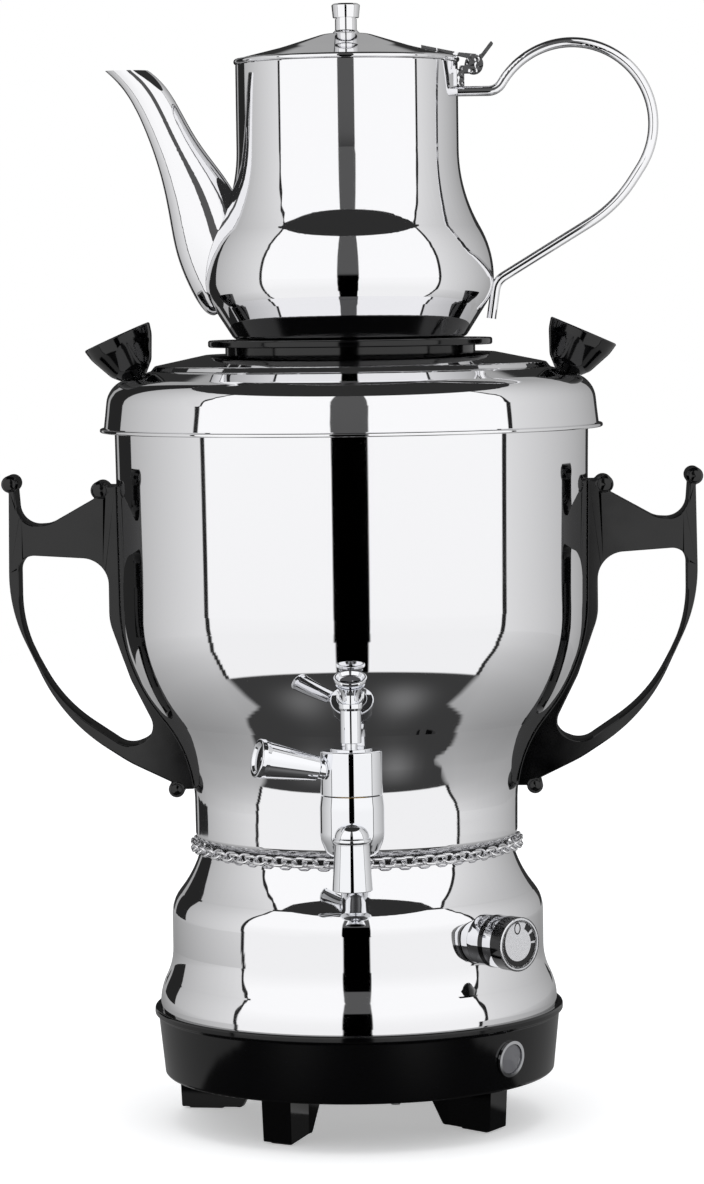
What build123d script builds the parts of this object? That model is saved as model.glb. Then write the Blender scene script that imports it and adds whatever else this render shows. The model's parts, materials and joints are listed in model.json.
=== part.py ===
"""Electric samovar with a teapot on its lid, built piece by piece.

Frame: millimetres, +Z up, z = 0 where it stands. The tap points to -Y, the teapot's
spout to -X and its handle to +X. Pieces are made with the samovar's axis on Z, and
all move back by AXIS_Y at the end, which centres the whole footprint on the origin.
Azimuths are degrees from the tap towards +X. Outlines are lists of corners
(radius or x, height, bend radius), and every sheet shell keeps its wall all the way.
"""

from build123d import *
from math import atan2, cos, degrees, pi, radians, sin, sqrt, tan
import os

# ---------------------------------------------------------------- driving dimensions

# Fits and clearances
SEAT_GAP = 0.05           # between two pieces of one assembly whose curved faces meet
REST_GAP = 0.3            # between a piece that lifts off and what carries it
RUN_GAP = 0.06            # radial clearance of a shaft in its bore
HOLE_EASE = 0.25          # radial clearance of a fixing's hole in sheet
TURN_GAP = 0.35           # between the faces of pieces that turn past each other
SHEET = 0.8               # stainless sheet of the tank, lid and lower shell
POT_SHEET = 0.7           # stainless sheet of the teapot
THROUGH = 30.0            # length of a cutter that passes through a wall
LEAST_BEND = 0.02         # a bend that takes less than this off its corner is left out

# Base moulding
FOOT_HEIGHT = 22.2        # floor to the underside of the black base band
BAND_HEIGHT = 30.3        # base band, underside to the top of its lip
BAND_BOTTOM_R = 86.9
BAND_TOP_R = 89.5
BAND_CHAMFER = 1.0
BAND_WALL = 2.5
LIP_R = 91.1              # lip round the top of the band
LIP_HEIGHT = 2.8
LIP_COVE = 1.2            # height of the cove under the lip
SHELL_SOCKET = 2.0        # depth of the groove the lower shell stands in
SHELF = 3.4               # width of the ledge under the lower shell's edge
PAN_DRAFT = 0.6           # the pan's inner wall leans in by this much at its floor
FOOT_PLACES = ((-30, 70.3), (60, 70.3), (150, 70.3), (248, 85.0))  # azimuth, outer face
FOOT_WIDTH = 14.4         # width of a foot's outer face
FOOT_TREAD = 27.0         # radial length of a foot's tread
FOOT_RIB = 11.8           # radial length of the rib that slopes up from the tread
FOOT_RIB_WIDTH = 2.4
FOOT_BEND = 2.0           # bend between tread and rib
FOOT_DRAFT = 1.0          # the foot's outer face leans out by this much at the pan
FOOT_WEDGE = 14           # degrees by which each side of a foot closes in inwards
PAD_HEIGHT = 0.8          # rubber pad under each foot
PAD_INSET = 2.5
PAD_LENGTH = 15.0
PAD_CORNER = 0.8
COVER_HOLE_R = 26.0       # service opening in the pan's floor
COVER_R = 31.0
COVER_THICK = 1.0
COVER_SCREW_R = 1.6
COVER_SCREW_HEAD_R = 3.0
COVER_SCREW_HEAD = 1.8
COVER_SCREW_TIP = 0.3     # screw's end past the pan's floor
COVER_SCREW_SLOT = 0.8
COVER_SCREWS = 3
VENTS = 3                 # slots in the cover
VENT_PITCH = 9.0
VENT_LENGTH = 26.0
VENT_WIDTH = 3.0

# Lower shell, which stands in the base and carries the tank
HIP_R = 82.7
SHELL_BOTTOM_R = 88.6
SHELL_TOP_R = 69.6
HIP_TOP_Z = 99.5
HIP_BOTTOM_Z = 72.0
SHELL_TOP_Z = 122.5
SHELL_NECK_OUT = 3.6      # the shell's neck widens by this much
SHELL_NECK_DROP = 11.0    # over this height
SHELL_FOOT_RISE = 10.0    # height of the nearly upright foot of the shell
SHELL_FOOT_DRAFT = 0.3
FLANGE_IN_R = 57.0        # hole in the top of the lower shell
NECK_PACKING = 2.6        # packing ring between lower shell and tank
PACKING_INSET = 2.2       # packing ring inside the flange's edges

# Tank
TANK_HEIGHT = 186.4       # tank's underside to the top of its rim
TANK_R = 103.5
TANK_RIM_R = 104.8
WAIST_R = 72.1
WAIST_DRAFT = 0.4         # the waist narrows by this much to its foot
WAIST_FOOT = 3.6          # height of the turned-in foot under the waist
TANK_LEDGE = 3.0          # tank's bottom flange ends this far outside the shell's
NECK_R = 67.5
SHOULDER_Z = 204.7        # where the straight wall's line meets the shoulder's
WAIST_Z = 164.3
BEAD_R = 1.5              # rolled bead on the tank's rim
FLOOR_THICK = 1.0
FLOOR_SKIRT = 7.0
FLOOR_DISH = 4.4          # height from the floor to the foot of its skirt
FLOOR_CORNER = 1.4        # floor's flat part ends this far inside the tank's neck

# Heater under the tank's floor
PLATE_R = 52.0
PLATE_THICK = 4.0
ELEMENT_R = 40.0
ELEMENT_WIRE_R = 3.3
ELEMENT_GAP_DEGREES = 36
ELEMENT_LEG = 16.0
ELEMENT_TAIL = 5.0        # contact pin below each leg
ELEMENT_PIN_R = 1.4
CUTOUT_R = 9.0            # thermal cut-out under the spreader
CUTOUT_HEIGHT = 10.0
CUTOUT_TAB = (30.0, 6.0, 1.2)
CUTOUT_BLADE = (0.8, 6.3, 8.0)
CUTOUT_BLADE_X = 4.5
CUTOUT_BLADE_LAP = 1.0    # blade's length inside the cut-out
TERMINAL_X = -44.0
TERMINAL_Y = 12.0
TERMINAL_PITCH = 11.0
TERMINAL_WIDTH = 14.0
TERMINAL_HEIGHT = 14.0
TERMINALS = 3
TERMINAL_WELL = 7.0
LEAD_R = 1.2
LEAD_BEND = 6.0
TIE_AZIMUTHS = (15, 135, 255)
TIE_R = 63.0
TIE_ROD_R = 2.0
TIE_NUT_R = 3.8
TIE_NUT_HEIGHT = 3.2
TIE_ROD_TIP = 1.5         # stud's end below its lower nut

# Control knob and thermostat
KNOB_AZIMUTH = 43
KNOB_Z = 89.0
KNOB_R = 11.5
KNOB_REACH = 20.6         # shell to the front of the knob
BEZEL_LENGTH = 6.0
BEZEL_STEP = 0.4          # bezel's radius under the knob's
KNOB_BACK = 2.9           # black flange next to the bezel
KNOB_BAND = 5.0           # bright band
KNOB_GRIP = 6.2           # black grip band
GRIP_PROUD = 0.2
SHAFT_R = 3.0
THERMOSTAT_R = 14.0
THERMOSTAT_LENGTH = 16.0
THERMOSTAT_SETBACK = 4.5  # lower shell's inside to the thermostat's front
THERMOSTAT_CONTACT = 8.5  # contact beside the spindle's axis
THERMOSTAT_DROP = 5.0     # contact below the spindle's axis
SHAFT_GRIP = 5.0          # spindle's length inside the thermostat
KNOB_WALL = 2.0           # knob's rings round its core
KNOB_FACE = 2.1           # bright face of the knob, front to back
KNOB_DISH = 0.5           # the face lies this far behind its rim
KNOB_RIM = 1.0
NECK_PROUD = 1.0          # thermostat's neck in front of the shell
KNOB_NECK_R = 8.5         # fixed neck of the thermostat through the shell
BRACKET = 1.6             # sheet of the thermostat's bracket
BRACKET_FOOT = 16.0
BRACKET_WIDTH = 14.0
BRACKET_ABOVE = 8.0       # bracket's top over the spindle's axis

# Pilot lamp
LAMP_AZIMUTH = 48.5
LAMP_Z = 36.5
LAMP_R = 8.0
LENS_R = 6.6
LENS_DEPTH = 4.0
LENS_EDGE = 0.6           # lens edge in front of the band
LENS_CROWN = 1.6          # middle of the lens in front of the band
LAMP_SLEEVE = 0.6         # wall of the bezel's sleeve
LAMP_SLEEVE_DEPTH = 5.0
LAMP_FLANGE = 1.3
LAMP_HOLDER = 13.0        # length of the neon holder
LAMP_STALK_R = 2.0

# Mains inlet at the back
INLET_Z = 36.0
INLET_WIDTH = 24.5
INLET_HEIGHT = 16.5
INLET_DEPTH = 17.0
INLET_WALL = 1.6
INLET_FLANGE = 3.2        # flange beside the cup
INLET_LAP = 1.2           # flange above and below the cup
INLET_MARGIN = 1.0        # the base's pad round the flange
INLET_PROUD = 0.6         # the pad in front of the band's widest part
BLADE_THICK = 2.0
BLADE_HEIGHT = 4.0
BLADE_PLACES = ((-7.0, 2.0), (0.0, -2.5), (7.0, 2.0))
INLET_PIN_LENGTH = 11.0
INLET_TAIL = 6.0          # contact blade behind the socket

# Chain round the neck
LINK_WIRE_R = 0.65
LINK_WIDTH = 5.6
LINK_SLACK = 0.1
CHAIN_R = 72.0
CHAIN_Z = 124.4
CHAIN_LINKS = 94

# Side handles
HANDLE_DEPTH = 22.0       # front to back
HANDLE_TOP_Z = 283.0
HANDLE_FOOT_Z = 150.0
HANDLE_OUT = 48.5         # tank wall's line to the grip's outer face
HANDLE_REACH = TANK_R + HANDLE_OUT
HANDLE_TIP_R = 3.8
HANDLE_ROOT = 12.0        # the blank runs this far inside the tank's wall before it is cut
HANDLE_CROWN = 1.4        # domed ends of the rolls
HANDLE_SCREWS_Z = (262.0, 164.0)
HANDLE_SCREW_DEPTH = 8.0
HANDLE_WASHER = 3.2       # sealing washer at its thickest
SCREW_R = 1.8
SCREW_HEAD = 2.4
WASHER_RIM = 0.6          # washer's edge outside the screw head

# Tap
TAP_Z = 146.0             # shank height
TAP_REACH = 109.0         # samovar axis to tap axis
TAP_R = 13.7
CAP_R = 13.1
TAP_SEAM_Z = 158.4
TAP_BOTTOM_Z = 132.4
CAP_TOP_Z = 177.4
CAP_DISC_R = 9.0          # thin disc on top of the cap
CAP_DISC = 0.8
SHANK_R = 6.5
SHANK_BORE_R = 4.5
TAP_FLANGE_R = 9.5
GASKET = 1.4
SHANK_NUT = 7.0
SHANK_TIP = 2.0           # shank's end inside the tank past its nut
PLUG_WALL = 2.5           # metal between the shank's end and the plug
PLUG_CHAMFER = 0.6        # plug's bottom to its cross bore
TAP_FLANGE = 3.0          # flange on the tank
TAP_NECK_STEP = 1.2       # neck's radius under the flange's
INNER_GASKET_STEP = 1.5   # inner gasket's radius under the flange's
PLUG_R = 7.6
PLUG_FLOOR = 8.0          # solid metal under the valve plug
PLUG_BORE_R = 2.8
NOZZLE_R = 7.5
NOZZLE_END_R = 8.6        # the sleeve widens to this at its open end
NOZZLE_BORE_R = 5.0
NOZZLE_OFFSET = 12.0      # tap axis to nozzle axis
NOZZLE_TOP_Z = 148.2
NOZZLE_BOTTOM_Z = 119.5
SPIGOT_DEPTH = 8.0        # how far the nozzle sleeve goes over the elbow's spigot
SPIGOT_WALL = 1.6         # sleeve wall round the spigot
SLEEVE_DROP = 1.4         # sleeve's top under the plug's bottom
ELBOW_STEP = 0.2          # elbow's radius under the sleeve's
BEAD_IN = 0.6             # bead's middle inside the sleeve's face
BEAD_RISE = 0.4           # bead over the sleeve's edge
FALL_STEP = 0.8           # down bore's radius over the cross bore's
ELBOW_BEAD_R = 1.3
FALL_EASE = 0.3           # headroom of the elbow's down bore over the cross bore
LEVER_TURN = 19           # degrees the lever points in front of -X
LEVER_RISE = 12
LEVER_Z = 167.0
LEVER_LENGTH = 42.4       # tap axis to the lever's end
LEVER_NECK_R = 5.3
LEVER_END_R = 8.45
LEVER_SPIGOT_R = 3.2
LEVER_SPIGOT_START = 6.0  # tap axis to the inner end of the lever's spigot
LEVER_NECK = 2.6          # length of the slim neck
LEVER_NECK_STEP = 1.0     # neck's radius under the cone's
STEM_R = 4.35
STEM_NECK = 2.0           # slim neck of the key between cap and barrel
STEM_TOP_Z = 194.6
SPINDLE_R = 2.6
COLLAR_R = 5.0
COLLAR_HEIGHT = 2.6
CUP_R = 7.0               # dished cup at the top of the key
CUP_Z = 208.1
CUP_DEPTH = 3.2
CUP_TILT = 20             # degrees the cup leans to the front
BELL_FOOT_R = 3.5         # bell that carries the cup
BELL_R = 6.3
BELL_NECK = 3.4           # height of the bell's slim foot
BELL_BELLY = 7.5          # collar to where the bell has its full width
HOOKS = 4                 # thin hooks round the bell's foot
HOOK_R = 0.6
HOOK_FOOT_R = 3.6         # circle of the hooks' feet
HOOK_BOW = (6.5, 1.2)     # radius and height of a hook's bend over the collar
HOOK_TIP = (7.3, 4.2)     # radius and height of its free tip

# Samovar lid
LID_TOP_Z = 342.1
LID_BRIM_Z = 308.5
LID_BRIM_R = 111.3
LID_WALL_R = 109.5
LID_SHOULDER_R = 107.4
LID_SHOULDER_Z = 329.4
LID_STEP_R = 88.4
LID_STEP_Z = 335.2
LID_PLATEAU_R = 64.0
LID_STEP = 2.2            # small step up to the lid's plateau
LID_HOLE_R = 22.0
LID_BRIM = 2.0            # height of the rolled brim
LID_KNOB_HEAD = 1.8
SEAT_RING_R = 93.0        # inner edge of the ring that rests on the tank's bead
LID_SKIRT_R = 100.6
LID_SKIRT_DEPTH = 14.0
LID_KNOB_R = 15.9
LID_KNOB_LENGTH = 20.6
LID_KNOB_FOOT_R = 5.2
LID_KNOB_SEAT_R = 95.2    # lid radius where a knob stands
LID_KNOB_LEAN = 23.8      # degrees a knob leans outwards
LID_KNOB_SINK = 0.9       # a knob's foot reaches this far under the lid's face before it is cut
LID_KNOB_SCREW_R = 2.0
LID_KNOB_SCREW_DEPTH = 9.5

# Stand between lid and teapot
STAND_R = 62.9            # slab the teapot stands on
STAND_SLAB = 3.1
STAND_HUB_R = 55.3        # narrower hub between lid and slab
STAND_HUB = 3.15
STAND_HOLLOW = 1.0        # height of the hollow under the middle of the stand
SLEEVE_WALL = 3.0         # stand's sleeve in the lid's hole
SLEEVE_EASE = 1.0
SLEEVE_DEPTH = 4.0
REST_WIDTH = 6.0          # flat ring of the slab inside the teapot's edge
STAND_PORTS = 6
STAND_PORT_R = 4.5
STAND_PORT_CIRCLE_R = 11.0
STAND_RECESS = 0.9

# Teapot
POT_R = 49.0
POT_TOP_Z = 469.0
POT_FLARE_Z = 413.3       # where the neck's line meets the flare's
POT_BELLY_R = 63.9
POT_BELLY_TOP_Z = 386.7   # corners above and below the belly's widest place
POT_BELLY_LOW_Z = 368.6
POT_BOTTOM_R = 51.2
POT_FILLET = 3.0
POT_LID_R = 49.8
POT_LID_RISE = 13.5       # pot's rim to the top of the lid's dome
POT_LID_DOME_Z = POT_TOP_Z + POT_LID_RISE
POT_LID_BEAD = 1.25
POT_LID_SKIRT = 6.0
POT_LID_SKIRT_GAP = 0.7   # skirt inside the pot's neck
POT_LID_CROWN_R = 9.6     # flat seat under the finial
POT_LID_SLOPE_X = 29.0    # middle of the lid's dome
POT_LID_SLOPE = 6.0       # and its drop there
FINIAL_R = 4.8
FINIAL_CAP_R = 6.3
FINIAL_CAP_LOW_R = 5.75   # the cap narrows to this at its underside
FINIAL_STEM = 6.8
FINIAL_CAP = 6.3
FINIAL_GROOVE = 0.5       # height of the groove under the cap
FINIAL_GROOVE_R = 4.4
FINIAL_SEAT = 1.4         # flared seat of the finial
STUD_R = 1.5
STUD_GRIP = 5.5           # stud's length inside the finial
STUD_HEAD = 1.6
SPOUT_AZIMUTH = -90
SPOUT_MOUTH_Z = 467.6
SPOUT_WALL = 0.8
STRAINER_HOLE_R = 1.7
STRAINER_ROWS = 4
STRAINER_PITCH = 6.0      # height between rows
STRAINER_START = 17.4     # first row over the belly's lower corner
STRAINER_STEP = 4.0       # degrees between half columns
STRAP = 4.2               # teapot handle strap, thickness
STRAP_DEPTH = 8.6
STRAP_Z = 456.5           # height where the strap leaves the pot
LOOP_X = 99.0             # centre of the handle's round loop
LOOP_Z = 441.5
LOOP_R = 35.8
LOOP_END = -33            # degrees, where the loop runs out straight
STRAP_RUN = 20.04         # straight run from the loop's end to the strap's elbow
STRAP_ELBOW_BEND = 60.0
STRAP_KNEE = (65.0, 373.0)  # corner where the strap meets the belly
STRAP_KNEE_BEND = 8.0
STRAP_FOOT = (62.6, 356.5)  # end of the strap under the belly
STRAP_BEND = 7.0          # bend between the strap's level start and its loop
STRAP_START = 1.0         # strap's start inside the pot's neck before it is cut
STRAP_EDGE = 0.3
HINGE_X = POT_LID_R + 6.3
HINGE_Z = POT_TOP_Z - 0.9
BARREL_R = 4.1
BARREL_LENGTH = 13.0
PIN_R = 1.5
KNUCKLE = 6.4             # lid's share of the barrel
PIN_HEAD = 0.8            # pin's head outside its eyes, and its width over the pin
BRACKET_POST = 2.8        # bracket's posts outside the pot's neck
BRACKET_PLATE = 1.6       # bracket's back plate
BRACKET_ARM = 3.0         # height of the bracket's arms
ARM_DROP = 0.6            # arms' top under the pin's axis
LEAF_START_X = 33.0       # inner end of the leaf on the lid
LEAF = 1.4                # thickness of the leaf
TAB_REACH = 8.6           # thumb tab past the pin
TAB_RISE = 9.0            # and above it


# ---------------------------------------------------------------- shape helpers

def ray(azimuth):
    """Unit vector pointing outwards at this azimuth."""
    return Vector(sin(radians(azimuth)), -cos(radians(azimuth)), 0)


def radial_plane(azimuth, radius, height, rise=0.0):
    """Plane whose normal points outwards at this azimuth, raised by rise degrees."""
    out = ray(azimuth) * cos(radians(rise)) + Vector(0, 0, sin(radians(rise)))
    side = Vector(0, 0, 1).cross(ray(azimuth))
    return Plane(ray(azimuth) * radius + Vector(0, 0, height), x_dir=side, z_dir=out)


def bent_edges(corners, closed):
    """Edges in the XZ plane through corners (x, z) or (x, z, bend radius)."""
    count = len(corners)
    entries, exits, bends = [], [], []
    for i, corner in enumerate(corners):
        here = Vector(corner[0], 0, corner[1])
        inner = closed or 0 < i < count - 1
        radius = corner[2] if len(corner) > 2 and inner else 0
        if radius <= 0:
            entries.append(here)
            exits.append(here)
            bends.append(None)
            continue
        last, following = corners[i - 1], corners[(i + 1) % count]
        back = (Vector(last[0], 0, last[1]) - here).normalized()
        ahead = (Vector(following[0], 0, following[1]) - here).normalized()
        half = radians(back.get_angle(ahead)) / 2
        reach = radius / tan(half)
        if reach < LEAST_BEND:
            entries.append(here)
            exits.append(here)
            bends.append(None)
            continue
        entries.append(here + back * reach)
        exits.append(here + ahead * reach)
        bends.append(here + (back + ahead).normalized() * (radius / sin(half) - radius))
    edges = []
    for i in range(count):
        if bends[i] is not None:
            edges.append(ThreePointArc(entries[i], bends[i], exits[i]))
        if i + 1 < count or closed:
            start, end = exits[i], entries[(i + 1) % count]
            if (end - start).length > 1e-6:
                edges.append(Line(start, end))
    return edges


def face_of(corners):
    """Face in the XZ plane inside a closed outline of corners."""
    return Face(Wire(bent_edges(corners, True)))


def turned(corners):
    """Solid of revolution about Z of a closed outline."""
    return revolve(face_of(corners), Axis.Z, 360)


def inset(corners, wall):
    """The open outline moved to its right by wall; its bends keep their centres."""
    count = len(corners)
    moved = []
    for i, corner in enumerate(corners):
        here = Vector(corner[0], corner[1])
        steps = []
        if i > 0:
            steps.append((here - Vector(corners[i - 1][0], corners[i - 1][1])).normalized())
        if i + 1 < count:
            steps.append((Vector(corners[i + 1][0], corners[i + 1][1]) - here).normalized())
        normals = [Vector(step.Y, -step.X) for step in steps]
        if len(normals) == 1:
            place = here + normals[0] * wall
            moved.append((place.X, place.Y))
            continue
        mitre = normals[0] + normals[1]
        place = here + mitre * (wall * 2 / mitre.length ** 2)
        radius = corner[2] if len(corner) > 2 else 0
        left_turn = steps[0].X * steps[1].Y - steps[0].Y * steps[1].X > 0
        if radius:
            radius = max(radius + wall if left_turn else radius - wall, 0)
        moved.append((place.X, place.Y, radius))
    return moved


def shell_of(corners, wall):
    """Closed outline of a sheet of this wall whose outer face follows the corners."""
    return list(corners) + inset(corners, wall)[::-1]


def radius_at(corners, height):
    """Radius of the outline's straight runs at this height, its bends left out."""
    for upper, lower in zip(corners, corners[1:]):
        if lower[1] <= height <= upper[1] and upper[1] > lower[1]:
            share = (height - lower[1]) / (upper[1] - lower[1])
            return lower[0] + share * (upper[0] - lower[0])
    return corners[-1][0]


def bar(radius, start, end):
    """Round bar between two points."""
    path = Vector(end) - Vector(start)
    base = Plane(Vector(start), z_dir=path.normalized())
    return extrude(base * Circle(radius), amount=path.length)


def tube(outer, inner, plane, start, end):
    """Round tube along a plane's normal between two distances from the plane."""
    ring = Circle(outer) - Circle(inner)
    return extrude(plane.offset(start) * ring, amount=end - start)


def disc(radius, plane, start, end):
    """Round disc along a plane's normal between two distances from the plane."""
    return extrude(plane.offset(start) * Circle(radius), amount=end - start)


def block(x, y, z):
    """Box between two limits on each axis."""
    size = [limits[1] - limits[0] for limits in (x, y, z)]
    centre = [(limits[1] + limits[0]) / 2 for limits in (x, y, z)]
    return Pos(*centre) * Box(*size)


def mirrored_x(solid):
    """The solid's twin on the other side of the YZ plane."""
    return mirror(solid, Plane.YZ)


# ---------------------------------------------------------------- base

BAND_TOP_Z = FOOT_HEIGHT + BAND_HEIGHT
SHELL_BOTTOM_Z = BAND_TOP_Z - SHELL_SOCKET
PAN_FLOOR_Z = FOOT_HEIGHT + BAND_WALL
WALL_BOTTOM_Z = FOOT_HEIGHT + BAND_CHAMFER
WALL_TOP_Z = BAND_TOP_Z - LIP_HEIGHT - LIP_COVE
BAND_TAPER = degrees(atan2(BAND_TOP_R - BAND_BOTTOM_R, WALL_TOP_Z - WALL_BOTTOM_Z))


def band_r(height):
    """Outer radius of the base band's tapered wall at this height."""
    return BAND_BOTTOM_R + (height - WALL_BOTTOM_Z) * tan(radians(BAND_TAPER))


LAMP_PLANE = radial_plane(LAMP_AZIMUTH, band_r(LAMP_Z), LAMP_Z, -BAND_TAPER)
INLET_FACE_Y = BAND_TOP_R + INLET_PROUD
PAN_FLOOR_R = BAND_BOTTOM_R - BAND_WALL - PAN_DRAFT


def make_base_pan():
    """Black moulding: band, lip, floor, sloping feet and the pad behind the inlet."""
    lip_in = SHELL_BOTTOM_R + SEAT_GAP
    shelf_in = SHELL_BOTTOM_R - SHELF
    outline = [
        (COVER_HOLE_R, FOOT_HEIGHT),
        (BAND_BOTTOM_R - BAND_CHAMFER, FOOT_HEIGHT, 1.0),
        (BAND_BOTTOM_R, WALL_BOTTOM_Z, 1.0),
        (BAND_TOP_R, WALL_TOP_Z, 0.6),
        (LIP_R, BAND_TOP_Z - LIP_HEIGHT, 0.6),
        (LIP_R, BAND_TOP_Z, 1.0),
        (lip_in, BAND_TOP_Z),
        (lip_in, SHELL_BOTTOM_Z - SEAT_GAP),
        (shelf_in, SHELL_BOTTOM_Z - SEAT_GAP),
        (PAN_FLOOR_R, PAN_FLOOR_Z),
        (COVER_HOLE_R, PAN_FLOOR_Z),
    ]
    pan = turned(outline)
    for azimuth, out_r in FOOT_PLACES:
        pan += Rot(0, 0, azimuth - 90) * make_foot(out_r)
    pad_half = INLET_WIDTH / 2 + INLET_WALL + INLET_FLANGE + INLET_MARGIN
    pad = block((-pad_half, pad_half), (PAN_FLOOR_R - pad_half / 4, INLET_FACE_Y),
                (FOOT_HEIGHT + INLET_MARGIN, WALL_TOP_Z))
    core = turned([(0, PAN_FLOOR_Z), (PAN_FLOOR_R, PAN_FLOOR_Z),
                   (shelf_in, SHELL_BOTTOM_Z), (0, SHELL_BOTTOM_Z)])
    pan += pad - core
    slot_w = INLET_WIDTH + 2 * INLET_WALL + 2 * SEAT_GAP
    slot_h = INLET_HEIGHT + 2 * INLET_WALL + 2 * SEAT_GAP
    pan -= Pos(0, INLET_FACE_Y, INLET_Z) * Box(slot_w, 2 * INLET_DEPTH, slot_h)
    pan -= disc(LENS_R + LAMP_SLEEVE + SEAT_GAP, LAMP_PLANE, -THROUGH / 2, THROUGH / 2)
    for azimuth in TIE_AZIMUTHS:
        spot = ray(azimuth) * TIE_R
        pan -= Pos(spot.X, spot.Y, FOOT_HEIGHT) * Cylinder(TIE_ROD_R + SEAT_GAP, THROUGH)
    for azimuth in cover_screw_azimuths():
        spot = ray(azimuth) * cover_screw_circle()
        pan -= Pos(spot.X, spot.Y, FOOT_HEIGHT) * Cylinder(COVER_SCREW_R + SEAT_GAP, THROUGH)
    return pan


def foot_half_width(depth):
    """Half width of a foot at this depth behind its outer face."""
    half = FOOT_WIDTH / 2 - depth * tan(radians(FOOT_WEDGE))
    return max(half, FOOT_RIB_WIDTH / 2)


def make_foot(out_r):
    """Wedge foot along +X: flat tread, closing in to a rib that slopes up to the pan."""
    tread_in = out_r - FOOT_TREAD
    side = [
        (out_r + FOOT_DRAFT, FOOT_HEIGHT),
        (out_r, PAD_HEIGHT, 0.8),
        (tread_in, PAD_HEIGHT, FOOT_BEND),
        (tread_in - FOOT_RIB, FOOT_HEIGHT),
    ]
    side_face = Pos(0, FOOT_WIDTH, 0) * face_of(side)
    foot = extrude(side_face, amount=2 * FOOT_WIDTH, dir=(0, -1, 0))
    front = foot_half_width(-FOOT_DRAFT)
    rib_half = FOOT_RIB_WIDTH / 2
    rib_start = out_r - (FOOT_WIDTH / 2 - rib_half) / tan(radians(FOOT_WEDGE))
    rib_end = tread_in - FOOT_RIB - FOOT_DRAFT
    plan = Polyline((out_r + FOOT_DRAFT, front), (rib_start, rib_half), (rib_end, rib_half),
                    (rib_end, -rib_half), (rib_start, -rib_half), (out_r + FOOT_DRAFT, -front),
                    close=True)
    return foot & extrude(Face(Wire(plan.edges())), amount=2 * FOOT_HEIGHT)


def cover_screw_azimuths():
    """Azimuths of the screws that hold the service cover."""
    return [TIE_AZIMUTHS[0] + 360 / COVER_SCREWS * i for i in range(COVER_SCREWS)]


def cover_screw_circle():
    """Radius of the circle of cover screws, midway over the cover's lap."""
    return (COVER_HOLE_R + COVER_R) / 2


def make_foot_pads():
    """Rubber pad pressed on each foot's tread, a wedge inside the foot's own."""
    pads = []
    for azimuth, out_r in FOOT_PLACES:
        front, back = out_r - PAD_INSET, out_r - PAD_INSET - PAD_LENGTH
        wide = foot_half_width(PAD_INSET) - PAD_INSET / 2
        slim = foot_half_width(PAD_INSET + PAD_LENGTH) - PAD_INSET / 2
        plan = Polyline((front, wide), (back, slim), (back, -slim), (front, -wide), close=True)
        pad = extrude(Face(Wire(plan.edges())), amount=PAD_HEIGHT)
        pad = fillet(pad.edges().filter_by(Axis.Z), PAD_CORNER)
        pads.append(Rot(0, 0, azimuth - 90) * pad)
    return pads


def make_service_cover():
    """Sheet disc that closes the pan's floor from below."""
    cover = Pos(0, 0, FOOT_HEIGHT - COVER_THICK / 2) * Cylinder(COVER_R, COVER_THICK)
    for azimuth in cover_screw_azimuths():
        spot = ray(azimuth) * cover_screw_circle()
        cover -= Pos(spot.X, spot.Y, FOOT_HEIGHT) * Cylinder(COVER_SCREW_R + SEAT_GAP, THROUGH)
    for i in range(VENTS):
        y = (i - (VENTS - 1) / 2) * VENT_PITCH
        cover -= Pos(0, y, FOOT_HEIGHT) * Box(VENT_LENGTH, VENT_WIDTH, THROUGH)
    return cover


def make_cover_screws():
    """Pan-head screws of the service cover."""
    screws = []
    for azimuth in cover_screw_azimuths():
        spot = ray(azimuth) * cover_screw_circle()
        under = FOOT_HEIGHT - COVER_THICK
        top = PAN_FLOOR_Z + COVER_SCREW_TIP
        screw = bar(COVER_SCREW_R, (0, 0, under), (0, 0, top))
        screw += bar(COVER_SCREW_HEAD_R, (0, 0, under - COVER_SCREW_HEAD), (0, 0, under))
        slot = (2 * COVER_SCREW_HEAD_R, COVER_SCREW_SLOT, COVER_SCREW_HEAD)
        screw -= Pos(0, 0, under - COVER_SCREW_HEAD) * Box(*slot)
        screws.append(Pos(spot.X, spot.Y, 0) * screw)
    return screws


# ---------------------------------------------------------------- pilot lamp and inlet

def make_lamp_bezel():
    """Bright ring with a sleeve through the band."""
    flange = tube(LAMP_R, LENS_R + SEAT_GAP, LAMP_PLANE, SEAT_GAP, LAMP_FLANGE)
    sleeve = tube(LENS_R + LAMP_SLEEVE, LENS_R + SEAT_GAP, LAMP_PLANE, -LAMP_SLEEVE_DEPTH, SEAT_GAP)
    return flange + sleeve


def make_lamp_lens():
    """Domed lens inside the bezel."""
    return LAMP_PLANE * turned([(0, -LENS_DEPTH), (LENS_R, -LENS_DEPTH),
                                (LENS_R, LENS_EDGE, 0.5), (0, LENS_CROWN)])


def make_lamp_holder():
    """Neon holder behind the lens, on a stalk that stands on the pan's floor."""
    back = -LENS_DEPTH - LAMP_HOLDER
    holder = disc(LENS_R - LAMP_SLEEVE, LAMP_PLANE, back, -LENS_DEPTH - SEAT_GAP)
    spot = LAMP_PLANE.offset(back + LENS_R - LAMP_SLEEVE).origin
    return holder + bar(LAMP_STALK_R, (spot.X, spot.Y, PAN_FLOOR_Z), spot)


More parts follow.
